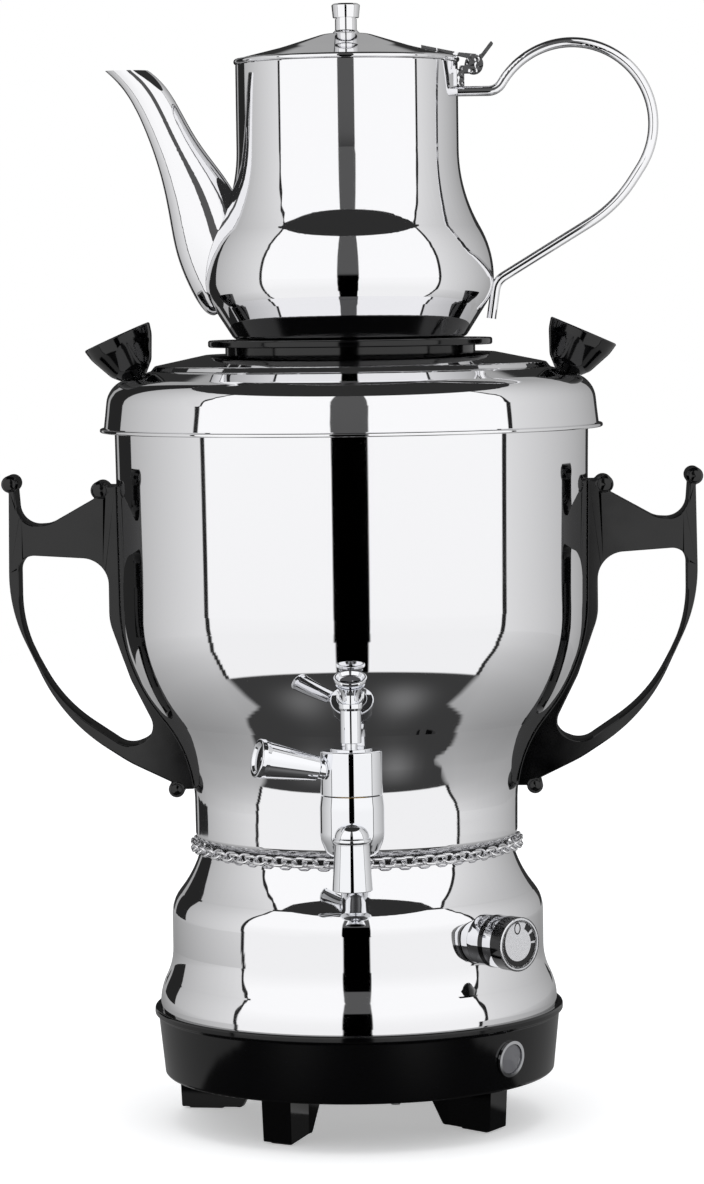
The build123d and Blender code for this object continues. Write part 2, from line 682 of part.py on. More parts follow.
def make_mains_inlet():
    """Appliance inlet: socket cup with a flange flat on the base's pad."""
    width, height = INLET_WIDTH + 2 * INLET_WALL, INLET_HEIGHT + 2 * INLET_WALL
    cup = block((-width / 2, width / 2), (INLET_FACE_Y - INLET_DEPTH - INLET_WALL, INLET_FACE_Y),
                (INLET_Z - height / 2, INLET_Z + height / 2))
    flange = block((-width / 2 - INLET_FLANGE, width / 2 + INLET_FLANGE),
                   (INLET_FACE_Y, INLET_FACE_Y + INLET_WALL),
                   (INLET_Z - height / 2 - INLET_LAP, INLET_Z + height / 2 + INLET_LAP))
    socket = block((-INLET_WIDTH / 2, INLET_WIDTH / 2),
                   (INLET_FACE_Y - INLET_DEPTH, INLET_FACE_Y + 2 * INLET_WALL),
                   (INLET_Z - INLET_HEIGHT / 2, INLET_Z + INLET_HEIGHT / 2))
    inlet = cup + flange - socket
    for place in BLADE_PLACES:
        inlet -= inlet_blade(place, SEAT_GAP)
    return inlet


def inlet_blade(place, ease):
    """One flat contact blade through the back of the socket."""
    back = INLET_FACE_Y - INLET_DEPTH - INLET_WALL
    half_x, half_z = BLADE_THICK / 2 + ease, BLADE_HEIGHT / 2 + ease
    return block((place[0] - half_x, place[0] + half_x),
                 (back - INLET_TAIL, back + INLET_WALL + INLET_PIN_LENGTH),
                 (INLET_Z + place[1] - half_z, INLET_Z + place[1] + half_z))


def make_inlet_pins():
    """Three contact blades."""
    return [inlet_blade(place, 0) for place in BLADE_PLACES]


# ---------------------------------------------------------------- lower shell

TANK_BOTTOM_Z = SHELL_TOP_Z + NECK_PACKING
TANK_TOP_Z = TANK_BOTTOM_Z + TANK_HEIGHT


def lower_shell_outline():
    """Outer face from the inner edge of the top flange down to the base."""
    return [
        (FLANGE_IN_R, SHELL_TOP_Z),
        (SHELL_TOP_R, SHELL_TOP_Z, 1.6),
        (SHELL_TOP_R + SHELL_NECK_OUT, SHELL_TOP_Z - SHELL_NECK_DROP, 50.0),
        (HIP_R, HIP_TOP_Z, 16.0),
        (HIP_R, HIP_BOTTOM_Z, 28.0),
        (SHELL_BOTTOM_R - SHELL_FOOT_DRAFT, SHELL_BOTTOM_Z + SHELL_FOOT_RISE, 26.0),
        (SHELL_BOTTOM_R, SHELL_BOTTOM_Z),
    ]


def knob_plane(distance=0.0):
    """Plane on the knob's axis at this distance outside the lower shell."""
    return radial_plane(KNOB_AZIMUTH, HIP_R + distance, KNOB_Z)


def tie_cutters(radius):
    """Upright cylinders on the tie rods' places."""
    cutters = []
    for azimuth in TIE_AZIMUTHS:
        spot = ray(azimuth) * TIE_R
        cutters.append(Pos(spot.X, spot.Y, SHELL_TOP_Z) * Cylinder(radius, THROUGH))
    return cutters


def make_lower_shell():
    """Bright sheet shell between base and tank."""
    shell = turned(shell_of(lower_shell_outline(), SHEET))
    shell -= disc(KNOB_NECK_R, knob_plane(), -THROUGH / 2, THROUGH / 2)
    for cutter in tie_cutters(TIE_ROD_R + SEAT_GAP):
        shell -= cutter
    return shell


def make_neck_packing():
    """Black packing ring between the lower shell and the tank."""
    inner, outer = FLANGE_IN_R + PACKING_INSET, SHELL_TOP_R - PACKING_INSET
    ring = turned([(inner, SHELL_TOP_Z), (outer, SHELL_TOP_Z),
                   (outer, TANK_BOTTOM_Z), (inner, TANK_BOTTOM_Z)])
    for cutter in tie_cutters(TIE_ROD_R + SEAT_GAP):
        ring -= cutter
    return ring


def make_tie_rods():
    """Three studs welded under the tank that hold shell and pan together."""
    rods = []
    for azimuth in TIE_AZIMUTHS:
        spot = ray(azimuth) * TIE_R
        bottom = FOOT_HEIGHT - TIE_NUT_HEIGHT - TIE_ROD_TIP
        rods.append(bar(TIE_ROD_R, (spot.X, spot.Y, bottom), (spot.X, spot.Y, TANK_BOTTOM_Z)))
    return rods


def make_tie_nuts():
    """A nut under the shell's flange and one under the pan on each stud."""
    nuts = []
    flange_under = SHELL_TOP_Z - SHEET
    for azimuth in TIE_AZIMUTHS:
        spot = ray(azimuth) * TIE_R
        for top in (flange_under, FOOT_HEIGHT):
            ring = RegularPolygon(TIE_NUT_R, 6) - Circle(TIE_ROD_R + SEAT_GAP)
            place = Plane((spot.X, spot.Y, top - TIE_NUT_HEIGHT))
            nuts.append(extrude(place * ring, amount=TIE_NUT_HEIGHT))
    return nuts


# ---------------------------------------------------------------- tank and heater

def tank_outline():
    """Outer face of the tank from its rim down to the inner edge of its bottom."""
    return [
        (TANK_RIM_R, TANK_TOP_Z - BEAD_R),
        (TANK_R, SHOULDER_Z, 80.0),
        (WAIST_R, WAIST_Z, 60.0),
        (WAIST_R - WAIST_DRAFT, TANK_BOTTOM_Z + WAIST_FOOT, 3.0),
        (NECK_R, TANK_BOTTOM_Z, 1.2),
        (FLANGE_IN_R + TANK_LEDGE, TANK_BOTTOM_Z),
    ]


def tank_core(ease):
    """Solid inside the tank's outer face, grown by ease."""
    grown = inset(tank_outline(), -ease)
    above = TANK_TOP_Z + THROUGH / 2
    return turned([(0, above), (grown[0][0], above)] + grown[:-1]
                  + [(0, TANK_BOTTOM_Z - ease)])


def tank_cavity(ease):
    """Solid inside the tank's inner face, shrunk by ease."""
    shrunk = inset(tank_outline(), SHEET + ease)
    return turned([(0, shrunk[0][1])] + shrunk[:-1] + [(0, shrunk[-1][1])])


def tap_shank_plane(distance):
    """Plane on the tap shank's axis at this distance from the samovar's axis."""
    return radial_plane(0, distance, TAP_Z)


def handle_screw_line(height, side):
    """Outer wall point and direction of a handle screw on the side of that sign."""
    return Plane((side * radius_at(tank_outline(), height), 0, height), z_dir=(side, 0, 0))


def make_tank_shell():
    """Bright tank wall: rolled bead, tapered wall, shoulder, waist and bottom flange."""
    tank = turned(shell_of(tank_outline(), SHEET))
    bead_centre = TANK_TOP_Z - BEAD_R
    bead = Plane.XZ * Pos(TANK_RIM_R + BEAD_R - SHEET, bead_centre) * Circle(BEAD_R)
    tank += revolve(bead, Axis.Z, 360)
    tank -= disc(SHANK_R + HOLE_EASE, tap_shank_plane(WAIST_R), -THROUGH / 2, THROUGH / 2)
    for side in (1, -1):
        for height in HANDLE_SCREWS_Z:
            line = handle_screw_line(height, side)
            tank -= disc(SCREW_R + HOLE_EASE, line, -THROUGH / 2, THROUGH / 2)
    return tank


def make_tank_floor():
    """Pressed floor with an upturned skirt welded inside the tank's waist."""
    inner = WAIST_R - WAIST_DRAFT - SHEET - SEAT_GAP
    low = TANK_BOTTOM_Z + SHEET
    corner = NECK_R - FLOOR_CORNER
    skirt = low + FLOOR_DISH
    return turned([
        (0, low),
        (corner, low, 1.0),
        (inner, skirt, 2.0),
        (inner, skirt + FLOOR_SKIRT),
        (inner - FLOOR_THICK, skirt + FLOOR_SKIRT),
        (inner - FLOOR_THICK, skirt + FLOOR_THICK, 1.5),
        (corner - FLOOR_THICK, low + FLOOR_THICK, 1.0),
        (0, low + FLOOR_THICK),
    ])


HEAT_PLATE_TOP_Z = TANK_BOTTOM_Z + SHEET
ELEMENT_Z = HEAT_PLATE_TOP_Z - PLATE_THICK - ELEMENT_WIRE_R - SEAT_GAP


def make_heat_plate():
    """Aluminium spreader brazed under the tank's floor."""
    low = HEAT_PLATE_TOP_Z - PLATE_THICK
    return Pos(0, 0, low + PLATE_THICK / 2) * Cylinder(PLATE_R, PLATE_THICK)


def make_heating_element():
    """Tubular element: an open ring under the spreader with two legs down."""
    half_gap = radians(ELEMENT_GAP_DEGREES / 2)
    start = Vector(ELEMENT_R * cos(half_gap), ELEMENT_R * sin(half_gap), ELEMENT_Z)
    far = Vector(-ELEMENT_R, 0, ELEMENT_Z)
    end = Vector(ELEMENT_R * cos(half_gap), -ELEMENT_R * sin(half_gap), ELEMENT_Z)
    ring_path = ThreePointArc(start, far, end)
    section = Plane(start, z_dir=ring_path % 0) * Circle(ELEMENT_WIRE_R)
    element = sweep(section, path=ring_path)
    for place in (start, end):
        leg = bar(ELEMENT_WIRE_R, place - Vector(0, 0, ELEMENT_LEG), place)
        ball = Pos(place.X, place.Y, place.Z) * Sphere(ELEMENT_WIRE_R)
        element += leg + ball
        tail = Vector(0, 0, ELEMENT_LEG + ELEMENT_TAIL)
        element += bar(ELEMENT_PIN_R, place - tail, place)
    return element


def make_thermal_cutout():
    """Button cut-out clipped under the middle of the spreader."""
    top = HEAT_PLATE_TOP_Z - PLATE_THICK - SEAT_GAP
    cutout = Pos(0, 0, top - CUTOUT_HEIGHT / 2) * Cylinder(CUTOUT_R, CUTOUT_HEIGHT)
    cutout += Pos(0, 0, top - CUTOUT_TAB[2] / 2) * Box(*CUTOUT_TAB)
    blade_z = top - CUTOUT_HEIGHT + CUTOUT_BLADE_LAP - CUTOUT_BLADE[2] / 2
    for x in (-CUTOUT_BLADE_X, CUTOUT_BLADE_X):
        cutout += Pos(x, 0, blade_z) * Box(*CUTOUT_BLADE)
    return cutout


def terminal_y(i):
    """Y place of the terminal with this number."""
    return TERMINAL_Y + (i - (TERMINALS - 1) / 2) * TERMINAL_PITCH


def make_terminal_block():
    """Screw terminal block on the pan's floor, a well over each terminal."""
    length = TERMINALS * TERMINAL_PITCH
    body = block((TERMINAL_X - TERMINAL_WIDTH / 2, TERMINAL_X + TERMINAL_WIDTH / 2),
                 (TERMINAL_Y - length / 2, TERMINAL_Y + length / 2),
                 (PAN_FLOOR_Z, PAN_FLOOR_Z + TERMINAL_HEIGHT))
    for i in range(TERMINALS):
        well = Pos(TERMINAL_X, terminal_y(i), PAN_FLOOR_Z + TERMINAL_HEIGHT)
        body -= well * Box(TERMINAL_WELL, TERMINAL_WELL, TERMINAL_WELL)
    return body


def lead(*corners):
    """Insulated lead through corners, its bends as round as LEAD_BEND."""
    path = FilletPolyline(*corners, radius=LEAD_BEND)
    start = Vector(*corners[0])
    section = Plane(start, z_dir=path % 0) * Circle(LEAD_R)
    return sweep(section, path=path)


def make_leads():
    """Leads from the inlet to the terminal block and on to heater and thermostat."""
    back = INLET_FACE_Y - INLET_DEPTH - INLET_WALL - INLET_TAIL
    block_x = TERMINAL_X + TERMINAL_WIDTH / 2
    entry = PAN_FLOOR_Z + TERMINAL_HEIGHT / 2
    leads = []
    for i, (x, z) in enumerate(BLADE_PLACES):
        y = terminal_y(TERMINALS - 1 - i)
        run = lead((x, back, INLET_Z + z), (x, y, INLET_Z + z), (TERMINAL_X, y, entry))
        past = (TERMINAL_X - TERMINAL_WIDTH, block_x)
        leads.append(run - block(past, (y - THROUGH, y + THROUGH), (entry - THROUGH, entry + THROUGH)))
    leg_x = ELEMENT_R * cos(radians(ELEMENT_GAP_DEGREES / 2))
    leg_y = ELEMENT_R * sin(radians(ELEMENT_GAP_DEGREES / 2))
    leg_z = ELEMENT_Z - ELEMENT_LEG - ELEMENT_TAIL
    low = PAN_FLOOR_Z + 2 * LEAD_R
    feed_y = terminal_y(0) - 3 * LEAD_R
    leads.append(lead((block_x, feed_y, low), (leg_x, feed_y, low), (leg_x, leg_y, low),
                      (leg_x, leg_y, leg_z)))
    contact = knob_plane(-SHEET - THERMOSTAT_SETBACK - THERMOSTAT_LENGTH)
    end = contact.origin + contact.x_dir * THERMOSTAT_CONTACT
    turn = end - contact.z_dir * THERMOSTAT_R
    side_z = KNOB_Z - THERMOSTAT_DROP
    leads.append(lead((leg_x, -leg_y, leg_z), (leg_x, -leg_y, side_z), (turn.X, turn.Y, side_z),
                      (end.X, end.Y, side_z)))
    return leads


# ---------------------------------------------------------------- control knob

def make_thermostat():
    """Thermostat body behind the shell with a neck through it."""
    inside = -SHEET - THERMOSTAT_SETBACK
    body = disc(THERMOSTAT_R, knob_plane(), inside - THERMOSTAT_LENGTH, inside)
    neck = disc(KNOB_NECK_R - SEAT_GAP, knob_plane(), inside, NECK_PROUD)
    bore = disc(SHAFT_R + RUN_GAP, knob_plane(), inside - SHAFT_GRIP - TURN_GAP, THROUGH)
    return body + neck - bore


def make_thermostat_bracket():
    """Bent strap from the pan's floor to the back of the thermostat."""
    out = HIP_R - SHEET - THERMOSTAT_SETBACK - THERMOSTAT_LENGTH
    top = KNOB_Z + BRACKET_ABOVE
    toe = out - BRACKET_FOOT
    corners = [(out, top), (out, PAN_FLOOR_Z), (toe, PAN_FLOOR_Z), (toe, PAN_FLOOR_Z + BRACKET),
               (out - BRACKET, PAN_FLOOR_Z + BRACKET, 1.0), (out - BRACKET, top)]
    strap = extrude(Pos(0, BRACKET_WIDTH / 2, 0) * face_of(corners), amount=BRACKET_WIDTH,
                    dir=(0, -1, 0))
    return Rot(0, 0, KNOB_AZIMUTH - 90) * strap


def make_knob_bezel():
    """Bright collar on the shell round the knob's seat, cut to the shell's curve."""
    bezel = tube(KNOB_R - BEZEL_STEP, KNOB_NECK_R, knob_plane(), -BEZEL_LENGTH, BEZEL_LENGTH)
    grown = inset(lower_shell_outline(), -SEAT_GAP)
    return bezel - turned([(0, grown[0][1])] + grown + [(0, grown[-1][1])])


def make_knob_shaft():
    """Thermostat spindle from the thermostat into the knob."""
    inner_end = -SHEET - THERMOSTAT_SETBACK - SHAFT_GRIP
    return disc(SHAFT_R, knob_plane(), inner_end, KNOB_REACH - 2 * KNOB_FACE)


def knob_stations():
    """Distances from the shell where the knob's flange, band, grip and cap start."""
    back = BEZEL_LENGTH + TURN_GAP
    band = back + KNOB_BACK
    grip = band + KNOB_BAND
    cap = grip + KNOB_GRIP
    return back, band, grip, cap


def make_knob_core():
    """Black core: back flange and the barrel that carries the rings."""
    back, band, _, _ = knob_stations()
    plane = knob_plane()
    core = disc(KNOB_R, plane, back, band)
    core += disc(KNOB_R - KNOB_WALL, plane, band, KNOB_REACH - KNOB_FACE - SEAT_GAP)
    core -= disc(SHAFT_R + SEAT_GAP, plane, 0, KNOB_REACH - 2 * KNOB_FACE + SEAT_GAP)
    return core


def make_knob_band():
    """Bright band on the core."""
    _, band, grip, _ = knob_stations()
    return tube(KNOB_R, KNOB_R - KNOB_WALL + SEAT_GAP, knob_plane(), band, grip)


def make_knob_grip():
    """Black grip ring on the core."""
    _, _, grip, cap = knob_stations()
    return tube(KNOB_R + GRIP_PROUD, KNOB_R - KNOB_WALL + SEAT_GAP, knob_plane(), grip, cap)


def make_knob_cap():
    """Bright cap with a rim and a sunk face."""
    _, _, _, cap = knob_stations()
    length = KNOB_REACH - cap
    inner, rim = KNOB_R - KNOB_WALL + SEAT_GAP, KNOB_R - KNOB_RIM
    skin = turned([
        (0, length - KNOB_FACE), (inner, length - KNOB_FACE), (inner, 0), (KNOB_R, 0),
        (KNOB_R, length, 0.6), (rim, length), (rim - 0.2, length - KNOB_DISH),
        (0, length - KNOB_DISH),
    ])
    return knob_plane(cap) * skin


# ---------------------------------------------------------------- chain

def chain_link():
    """One oval link along X, flat in the XY plane, its inside one pitch long."""
    pitch = 2 * pi * CHAIN_R / CHAIN_LINKS
    bend = LINK_WIDTH / 2 - LINK_WIRE_R
    half = (pitch + LINK_SLACK) / 2 + LINK_WIRE_R - bend
    top = Line((-half, bend), (half, bend))
    right = ThreePointArc((half, bend), (half + bend, 0), (half, -bend))
    bottom = Line((half, -bend), (-half, -bend))
    left = ThreePointArc((-half, -bend), (-half - bend, 0), (-half, bend))
    path = Wire([*top.edges(), *right.edges(), *bottom.edges(), *left.edges()])
    section = Plane((-half, bend, 0), z_dir=(1, 0, 0)) * Circle(LINK_WIRE_R)
    return sweep(section, path=path)


def make_neck_chain():
    """Closed chain round the neck, each link turned a quarter turn to its neighbours."""
    link = chain_link()
    links = []
    for i in range(CHAIN_LINKS):
        azimuth = 360 / CHAIN_LINKS * i
        roll = 45 if i % 2 else -45
        place = Rot(0, 0, azimuth) * Pos(0, -CHAIN_R, CHAIN_Z)
        links.append(place * Rot(roll, 0, 0) * link)
    return links


# ---------------------------------------------------------------- side handles

def handle_outline():
    """Outer edge of the right handle: backing strip, arm, horn, grip and foot."""
    reach, top, foot = HANDLE_REACH, HANDLE_TOP_Z, HANDLE_FOOT_Z
    return [
        (TANK_R - HANDLE_ROOT, top + 2.0),
        (TANK_R + 6.0, top + 2.0, 1.0),
        (TANK_R + 10.6, top - 3.6, 4.0),
        (reach - 17.5, top - 15.0, 11.0),
        (reach - 4.4, top - 15.6, 9.0),
        (reach - 3.0, top + 2.0),
        (reach - 0.4, top + 2.0),
        (reach + 0.4, top - 52.0, 70.0),
        (TANK_R + 25.5, top - 102.0, 80.0),
        (WAIST_R + 27.9, foot + 12.0, 60.0),
        (WAIST_R + 9.2, foot + 3.0, 8.0),
        (WAIST_R + 6.0, foot, 1.0),
        (WAIST_R - HANDLE_ROOT, foot),
    ]


def handle_opening():
    """Edge of the finger opening."""
    reach, top, foot = HANDLE_REACH, HANDLE_TOP_Z, HANDLE_FOOT_Z
    return [
        (TANK_R + 4.6, top - 30.6, 12.0),
        (reach - 4.0, top - 28.0, 7.0),
        (reach - 4.0, top - 62.0, 60.0),
        (TANK_R + 26.5, top - 95.0, 65.0),
        (WAIST_R + 28.9, foot + 18.4, 10.0),
        (WAIST_R + 14.5, foot + 24.0, 8.0),
        (TANK_R - 4.5, top - 84.0, 24.0),
        (TANK_R + 4.6, top - 58.0, 24.0),
    ]


def handle_roll(x, z, radius):
    """Round roll across the handle with softly domed ends."""
    half = HANDLE_DEPTH / 2
    edge, proud = HANDLE_CROWN - 0.2, HANDLE_CROWN - 0.5
    roll = turned([
        (0, -half - HANDLE_CROWN), (radius - edge, -half - proud, 1.0),
        (radius, -half + edge, 1.0), (radius, half - edge, 1.0),
        (radius - edge, half + proud, 1.0), (0, half + HANDLE_CROWN),
    ])
    return Pos(x, 0, z) * Rot(90, 0, 0) * roll


def make_handle():
    """Right handle: one black moulding hollowed to the tank's curve, with three rolls."""
    body = extrude(Pos(0, HANDLE_DEPTH / 2, 0) * face_of(handle_outline()),
                   amount=HANDLE_DEPTH, dir=(0, -1, 0))
    body -= extrude(Pos(0, HANDLE_DEPTH, 0) * face_of(handle_opening()),
                    amount=2 * HANDLE_DEPTH, dir=(0, -1, 0))
    body += handle_roll(HANDLE_REACH - 0.8, HANDLE_TOP_Z + 3.2, HANDLE_TIP_R)
    body += handle_roll(TANK_R + 7.9, HANDLE_TOP_Z, HANDLE_TIP_R + 0.3)
    body += handle_roll(WAIST_R + 7.4, HANDLE_FOOT_Z - 0.2, HANDLE_TIP_R - 0.2)
    body -= tank_core(3 * SEAT_GAP)
    for height in HANDLE_SCREWS_Z:
        line = handle_screw_line(height, 1)
        body -= disc(SCREW_R + SEAT_GAP, line, -THROUGH / 2, HANDLE_SCREW_DEPTH + TURN_GAP)
    return body


def make_handle_screws():
    """Screws from inside the tank into each handle, heads on sealing washers."""
    screws = []
    for side in (1, -1):
        for height in HANDLE_SCREWS_Z:
            line = handle_screw_line(height, side)
            head_seat = -SHEET - HANDLE_WASHER
            screw = disc(SCREW_R, line, head_seat - SCREW_HEAD, HANDLE_SCREW_DEPTH)
            screws.append(screw + disc(2 * SCREW_R, line, head_seat - SCREW_HEAD, head_seat))
    return screws


def make_handle_washers():
    """Rubber sealing washers under the screw heads, shaped to the tank's inside."""
    washers = []
    for side in (1, -1):
        for height in HANDLE_SCREWS_Z:
            ring = tube(2 * SCREW_R + WASHER_RIM, SCREW_R + SEAT_GAP,
                        handle_screw_line(height, side), -SHEET - HANDLE_WASHER, SHEET)
            washers.append(ring & tank_cavity(SEAT_GAP))
    return washers


# ---------------------------------------------------------------- tap

SHANK_END = TAP_REACH - PLUG_R - PLUG_WALL
PLUG_BOTTOM_Z = TAP_BOTTOM_Z + PLUG_FLOOR
PLUG_BORE_Z = PLUG_BOTTOM_Z + PLUG_BORE_R + PLUG_CHAMFER
SLEEVE_TOP_Z = PLUG_BOTTOM_Z - SLEEVE_DROP
SPIGOT_R = NOZZLE_R - SPIGOT_WALL
CAP_BOTTOM_Z = TAP_SEAM_Z + TURN_GAP
SPINDLE_BOTTOM_Z = CAP_BOTTOM_Z + SPINDLE_R
CAP_FACE_Z = CAP_TOP_Z + CAP_DISC


def on_tap(solid):
    """A solid made about Z moved to the tap's upright axis."""
    return Pos(0, -TAP_REACH, 0) * solid


def on_nozzle(solid):
    """A solid made about Z moved to the nozzle's axis."""
    return Pos(0, -TAP_REACH - NOZZLE_OFFSET, 0) * solid


def make_tap_shank():
    """Threaded tube from inside the tank to the tap's body."""
    inner_end = WAIST_R - SHEET - GASKET - SHANK_NUT - SHANK_TIP
    return tube(SHANK_R, SHANK_BORE_R, tap_shank_plane(0), inner_end, SHANK_END)


def make_tap_gaskets():
    """Rubber washers outside and inside the tank's wall, shaped to it."""
    outside = tube(TAP_FLANGE_R, SHANK_R + SEAT_GAP, tap_shank_plane(0), 0, TAP_REACH)
    outside &= Pos(0, 0, TAP_Z) * Cylinder(WAIST_R + GASKET, 2 * THROUGH)
    outside -= tank_core(SEAT_GAP)
    inner_r = TAP_FLANGE_R - INNER_GASKET_STEP
    inside = tube(inner_r, SHANK_R + SEAT_GAP, tap_shank_plane(0), 0, TAP_REACH)
    inside &= tank_cavity(SEAT_GAP)
    inside -= Pos(0, 0, TAP_Z) * Cylinder(WAIST_R - SHEET - GASKET, 2 * THROUGH)
    return [outside, inside]


def make_tap_nut():
    """Hexagon nut on the shank inside the tank, its face curved to the washer."""
    seat = WAIST_R - SHEET - GASKET - SEAT_GAP
    hexagon = RegularPolygon(TAP_FLANGE_R, 6) - Circle(SHANK_R + SEAT_GAP)
    nut = extrude(tap_shank_plane(seat - SHANK_NUT) * hexagon, amount=SHANK_NUT)
    return nut & Pos(0, 0, TAP_Z) * Cylinder(seat, 2 * THROUGH)


def make_tap_body():
    """Bright body: bullet, flange on the tank, elbow and spigot for the nozzle."""
    body = on_tap(turned([
        (0, TAP_BOTTOM_Z), (TAP_R - 3.4, TAP_BOTTOM_Z, 5.0), (TAP_R, TAP_BOTTOM_Z + 8.0, 12.0),
        (TAP_R, TAP_SEAM_Z - 5.0, 20.0), (CAP_R, TAP_SEAM_Z), (0, TAP_SEAM_Z),
    ]))
    face_r = WAIST_R + GASKET + SEAT_GAP
    flange = disc(TAP_FLANGE_R, tap_shank_plane(0), 0, face_r + TAP_FLANGE)
    neck = disc(TAP_FLANGE_R - TAP_NECK_STEP, tap_shank_plane(0), 0, TAP_REACH - PLUG_R)
    body += flange + neck - Pos(0, 0, TAP_Z) * Cylinder(face_r, 2 * THROUGH)
    elbow_r = NOZZLE_R - ELBOW_STEP
    pocket_z = SLEEVE_TOP_Z + SEAT_GAP
    body -= on_nozzle(turned([
        (0, NOZZLE_BOTTOM_Z), (NOZZLE_END_R + SEAT_GAP, NOZZLE_BOTTOM_Z),
        (elbow_r + SEAT_GAP, pocket_z), (0, pocket_z),
    ]))
    elbow = turned([
        (0, SLEEVE_TOP_Z - SPIGOT_DEPTH), (SPIGOT_R, SLEEVE_TOP_Z - SPIGOT_DEPTH),
        (SPIGOT_R, SLEEVE_TOP_Z + SEAT_GAP), (elbow_r, SLEEVE_TOP_Z + SEAT_GAP),
        (elbow_r, NOZZLE_TOP_Z, elbow_r - 0.7), (0, NOZZLE_TOP_Z),
    ])
    bead_z = SLEEVE_TOP_Z + ELBOW_BEAD_R + BEAD_RISE
    bead = Plane.XZ * Pos(NOZZLE_R - BEAD_IN, bead_z) * Circle(ELBOW_BEAD_R)
    elbow += revolve(bead, Axis.Z, 360)
    body += on_nozzle(elbow)
    hole_z = PLUG_BOTTOM_Z - RUN_GAP + THROUGH / 2
    body -= on_tap(Pos(0, 0, hole_z) * Cylinder(PLUG_R + RUN_GAP, THROUGH))
    body -= disc(SHANK_R + SEAT_GAP, tap_shank_plane(0), 0, SHANK_END + SEAT_GAP)
    body -= disc(SHANK_BORE_R, tap_shank_plane(0), 0, TAP_REACH)
    outlet = Plane((0, -TAP_REACH, PLUG_BORE_Z), z_dir=(0, -1, 0))
    body -= disc(PLUG_BORE_R, outlet, 0, NOZZLE_OFFSET)
    fall_top = PLUG_BORE_Z + PLUG_BORE_R + FALL_EASE
    fall = Pos(0, 0, fall_top - THROUGH / 2) * Cylinder(PLUG_BORE_R + FALL_STEP, THROUGH)
    return body - on_nozzle(fall)


def make_tap_nozzle():
    """Bright sleeve screwed on the body's spigot, wider towards its open end."""
    socket_r = SPIGOT_R + SEAT_GAP
    shelf = SLEEVE_TOP_Z - SPIGOT_DEPTH - SEAT_GAP
    return on_nozzle(turned([
        (NOZZLE_BORE_R, NOZZLE_BOTTOM_Z), (NOZZLE_END_R, NOZZLE_BOTTOM_Z, 0.4),
        (NOZZLE_R - ELBOW_STEP, SLEEVE_TOP_Z), (socket_r, SLEEVE_TOP_Z),
        (socket_r, shelf), (NOZZLE_BORE_R, shelf),
    ]))


def make_tap_plug():
    """Valve plug under the cap; its cross bore lies along the lever."""
    height = CAP_BOTTOM_Z - PLUG_BOTTOM_Z
    plug = on_tap(Pos(0, 0, PLUG_BOTTOM_Z + height / 2) * Cylinder(PLUG_R, height))
    turn = radians(LEVER_TURN)
    bore = Plane((0, -TAP_REACH, PLUG_BORE_Z), z_dir=(-cos(turn), -sin(turn), 0))
    return plug - disc(PLUG_BORE_R, bore, -THROUGH / 2, THROUGH / 2)


def make_tap_cap():
    """Bright turning cap above the seam, bored for the key's spindle and the lever."""
    cap = on_tap(turned([
        (0, CAP_BOTTOM_Z), (CAP_R, CAP_BOTTOM_Z, 0.3), (CAP_R, CAP_TOP_Z, 0.9),
        (CAP_DISC_R, CAP_TOP_Z), (CAP_DISC_R, CAP_FACE_Z, 0.3), (0, CAP_FACE_Z),
    ]))
    bore_z = SPINDLE_BOTTOM_Z + THROUGH / 2
    cap -= on_tap(Pos(0, 0, bore_z) * Cylinder(SPINDLE_R + RUN_GAP, THROUGH))
    return cap - disc(LEVER_SPIGOT_R + SEAT_GAP, lever_plane(), LEVER_SPIGOT_START, CAP_R + THROUGH)


def lever_plane():
    """Plane on the tap's axis whose normal runs out along the lever."""
    turn, rise = radians(LEVER_TURN), radians(LEVER_RISE)
    out = Vector(-cos(turn) * cos(rise), -sin(turn) * cos(rise), sin(rise))
    side = Vector(0, 0, 1).cross(out)
    return Plane((0, -TAP_REACH, LEVER_Z), x_dir=side, z_dir=out)


def make_tap_lever():
    """Bright conical lever: spigot in the cap, slim neck, cone and dished end."""
    cone_root = CAP_R + LEVER_NECK
    neck_r = LEVER_NECK_R - LEVER_NECK_STEP
    inner = CAP_R - LEVER_SPIGOT_R
    end = LEVER_LENGTH
    lever = lever_plane() * turned([
        (0, inner), (neck_r, inner), (neck_r, cone_root - 0.8),
        (LEVER_NECK_R, cone_root, 0.5), (LEVER_END_R - 0.5, end - 4.0, 3.0),
        (LEVER_END_R, end - 2.2, 0.8), (LEVER_END_R - 0.2, end, 0.7),
        (LEVER_END_R - 1.8, end - 0.2, 0.4), (LEVER_END_R - 2.8, end - 1.4, 0.5), (0, end - 1.8),
    ])
    lever -= on_tap(Pos(0, 0, LEVER_Z) * Cylinder(CAP_R + SEAT_GAP, 2 * THROUGH))
    start = LEVER_SPIGOT_START + SEAT_GAP
    return lever + disc(LEVER_SPIGOT_R, lever_plane(), start, CAP_R + LEVER_NECK / 2)


def make_key_stem():
    """Upright stem of the key: spindle in the cap, slim neck, barrel and collar."""
    barrel_z = CAP_FACE_Z + STEM_NECK
    collar_z = STEM_TOP_Z
    return on_tap(turned([
        (0, SPINDLE_BOTTOM_Z + TURN_GAP), (SPINDLE_R, SPINDLE_BOTTOM_Z + TURN_GAP),
        (SPINDLE_R, barrel_z), (STEM_R, barrel_z, 0.4), (STEM_R, collar_z - 0.6),
        (COLLAR_R, collar_z + 0.4, 0.4), (COLLAR_R, collar_z + COLLAR_HEIGHT, 0.6),
        (0, collar_z + COLLAR_HEIGHT),
    ]))


def cup_plane():
    """Plane of the cup's rim: on the tap's axis, leaning to the front."""
    lean = radians(CUP_TILT)
    return Plane((0, -TAP_REACH, CUP_Z), x_dir=(1, 0, 0), z_dir=(0, -sin(lean), cos(lean)))


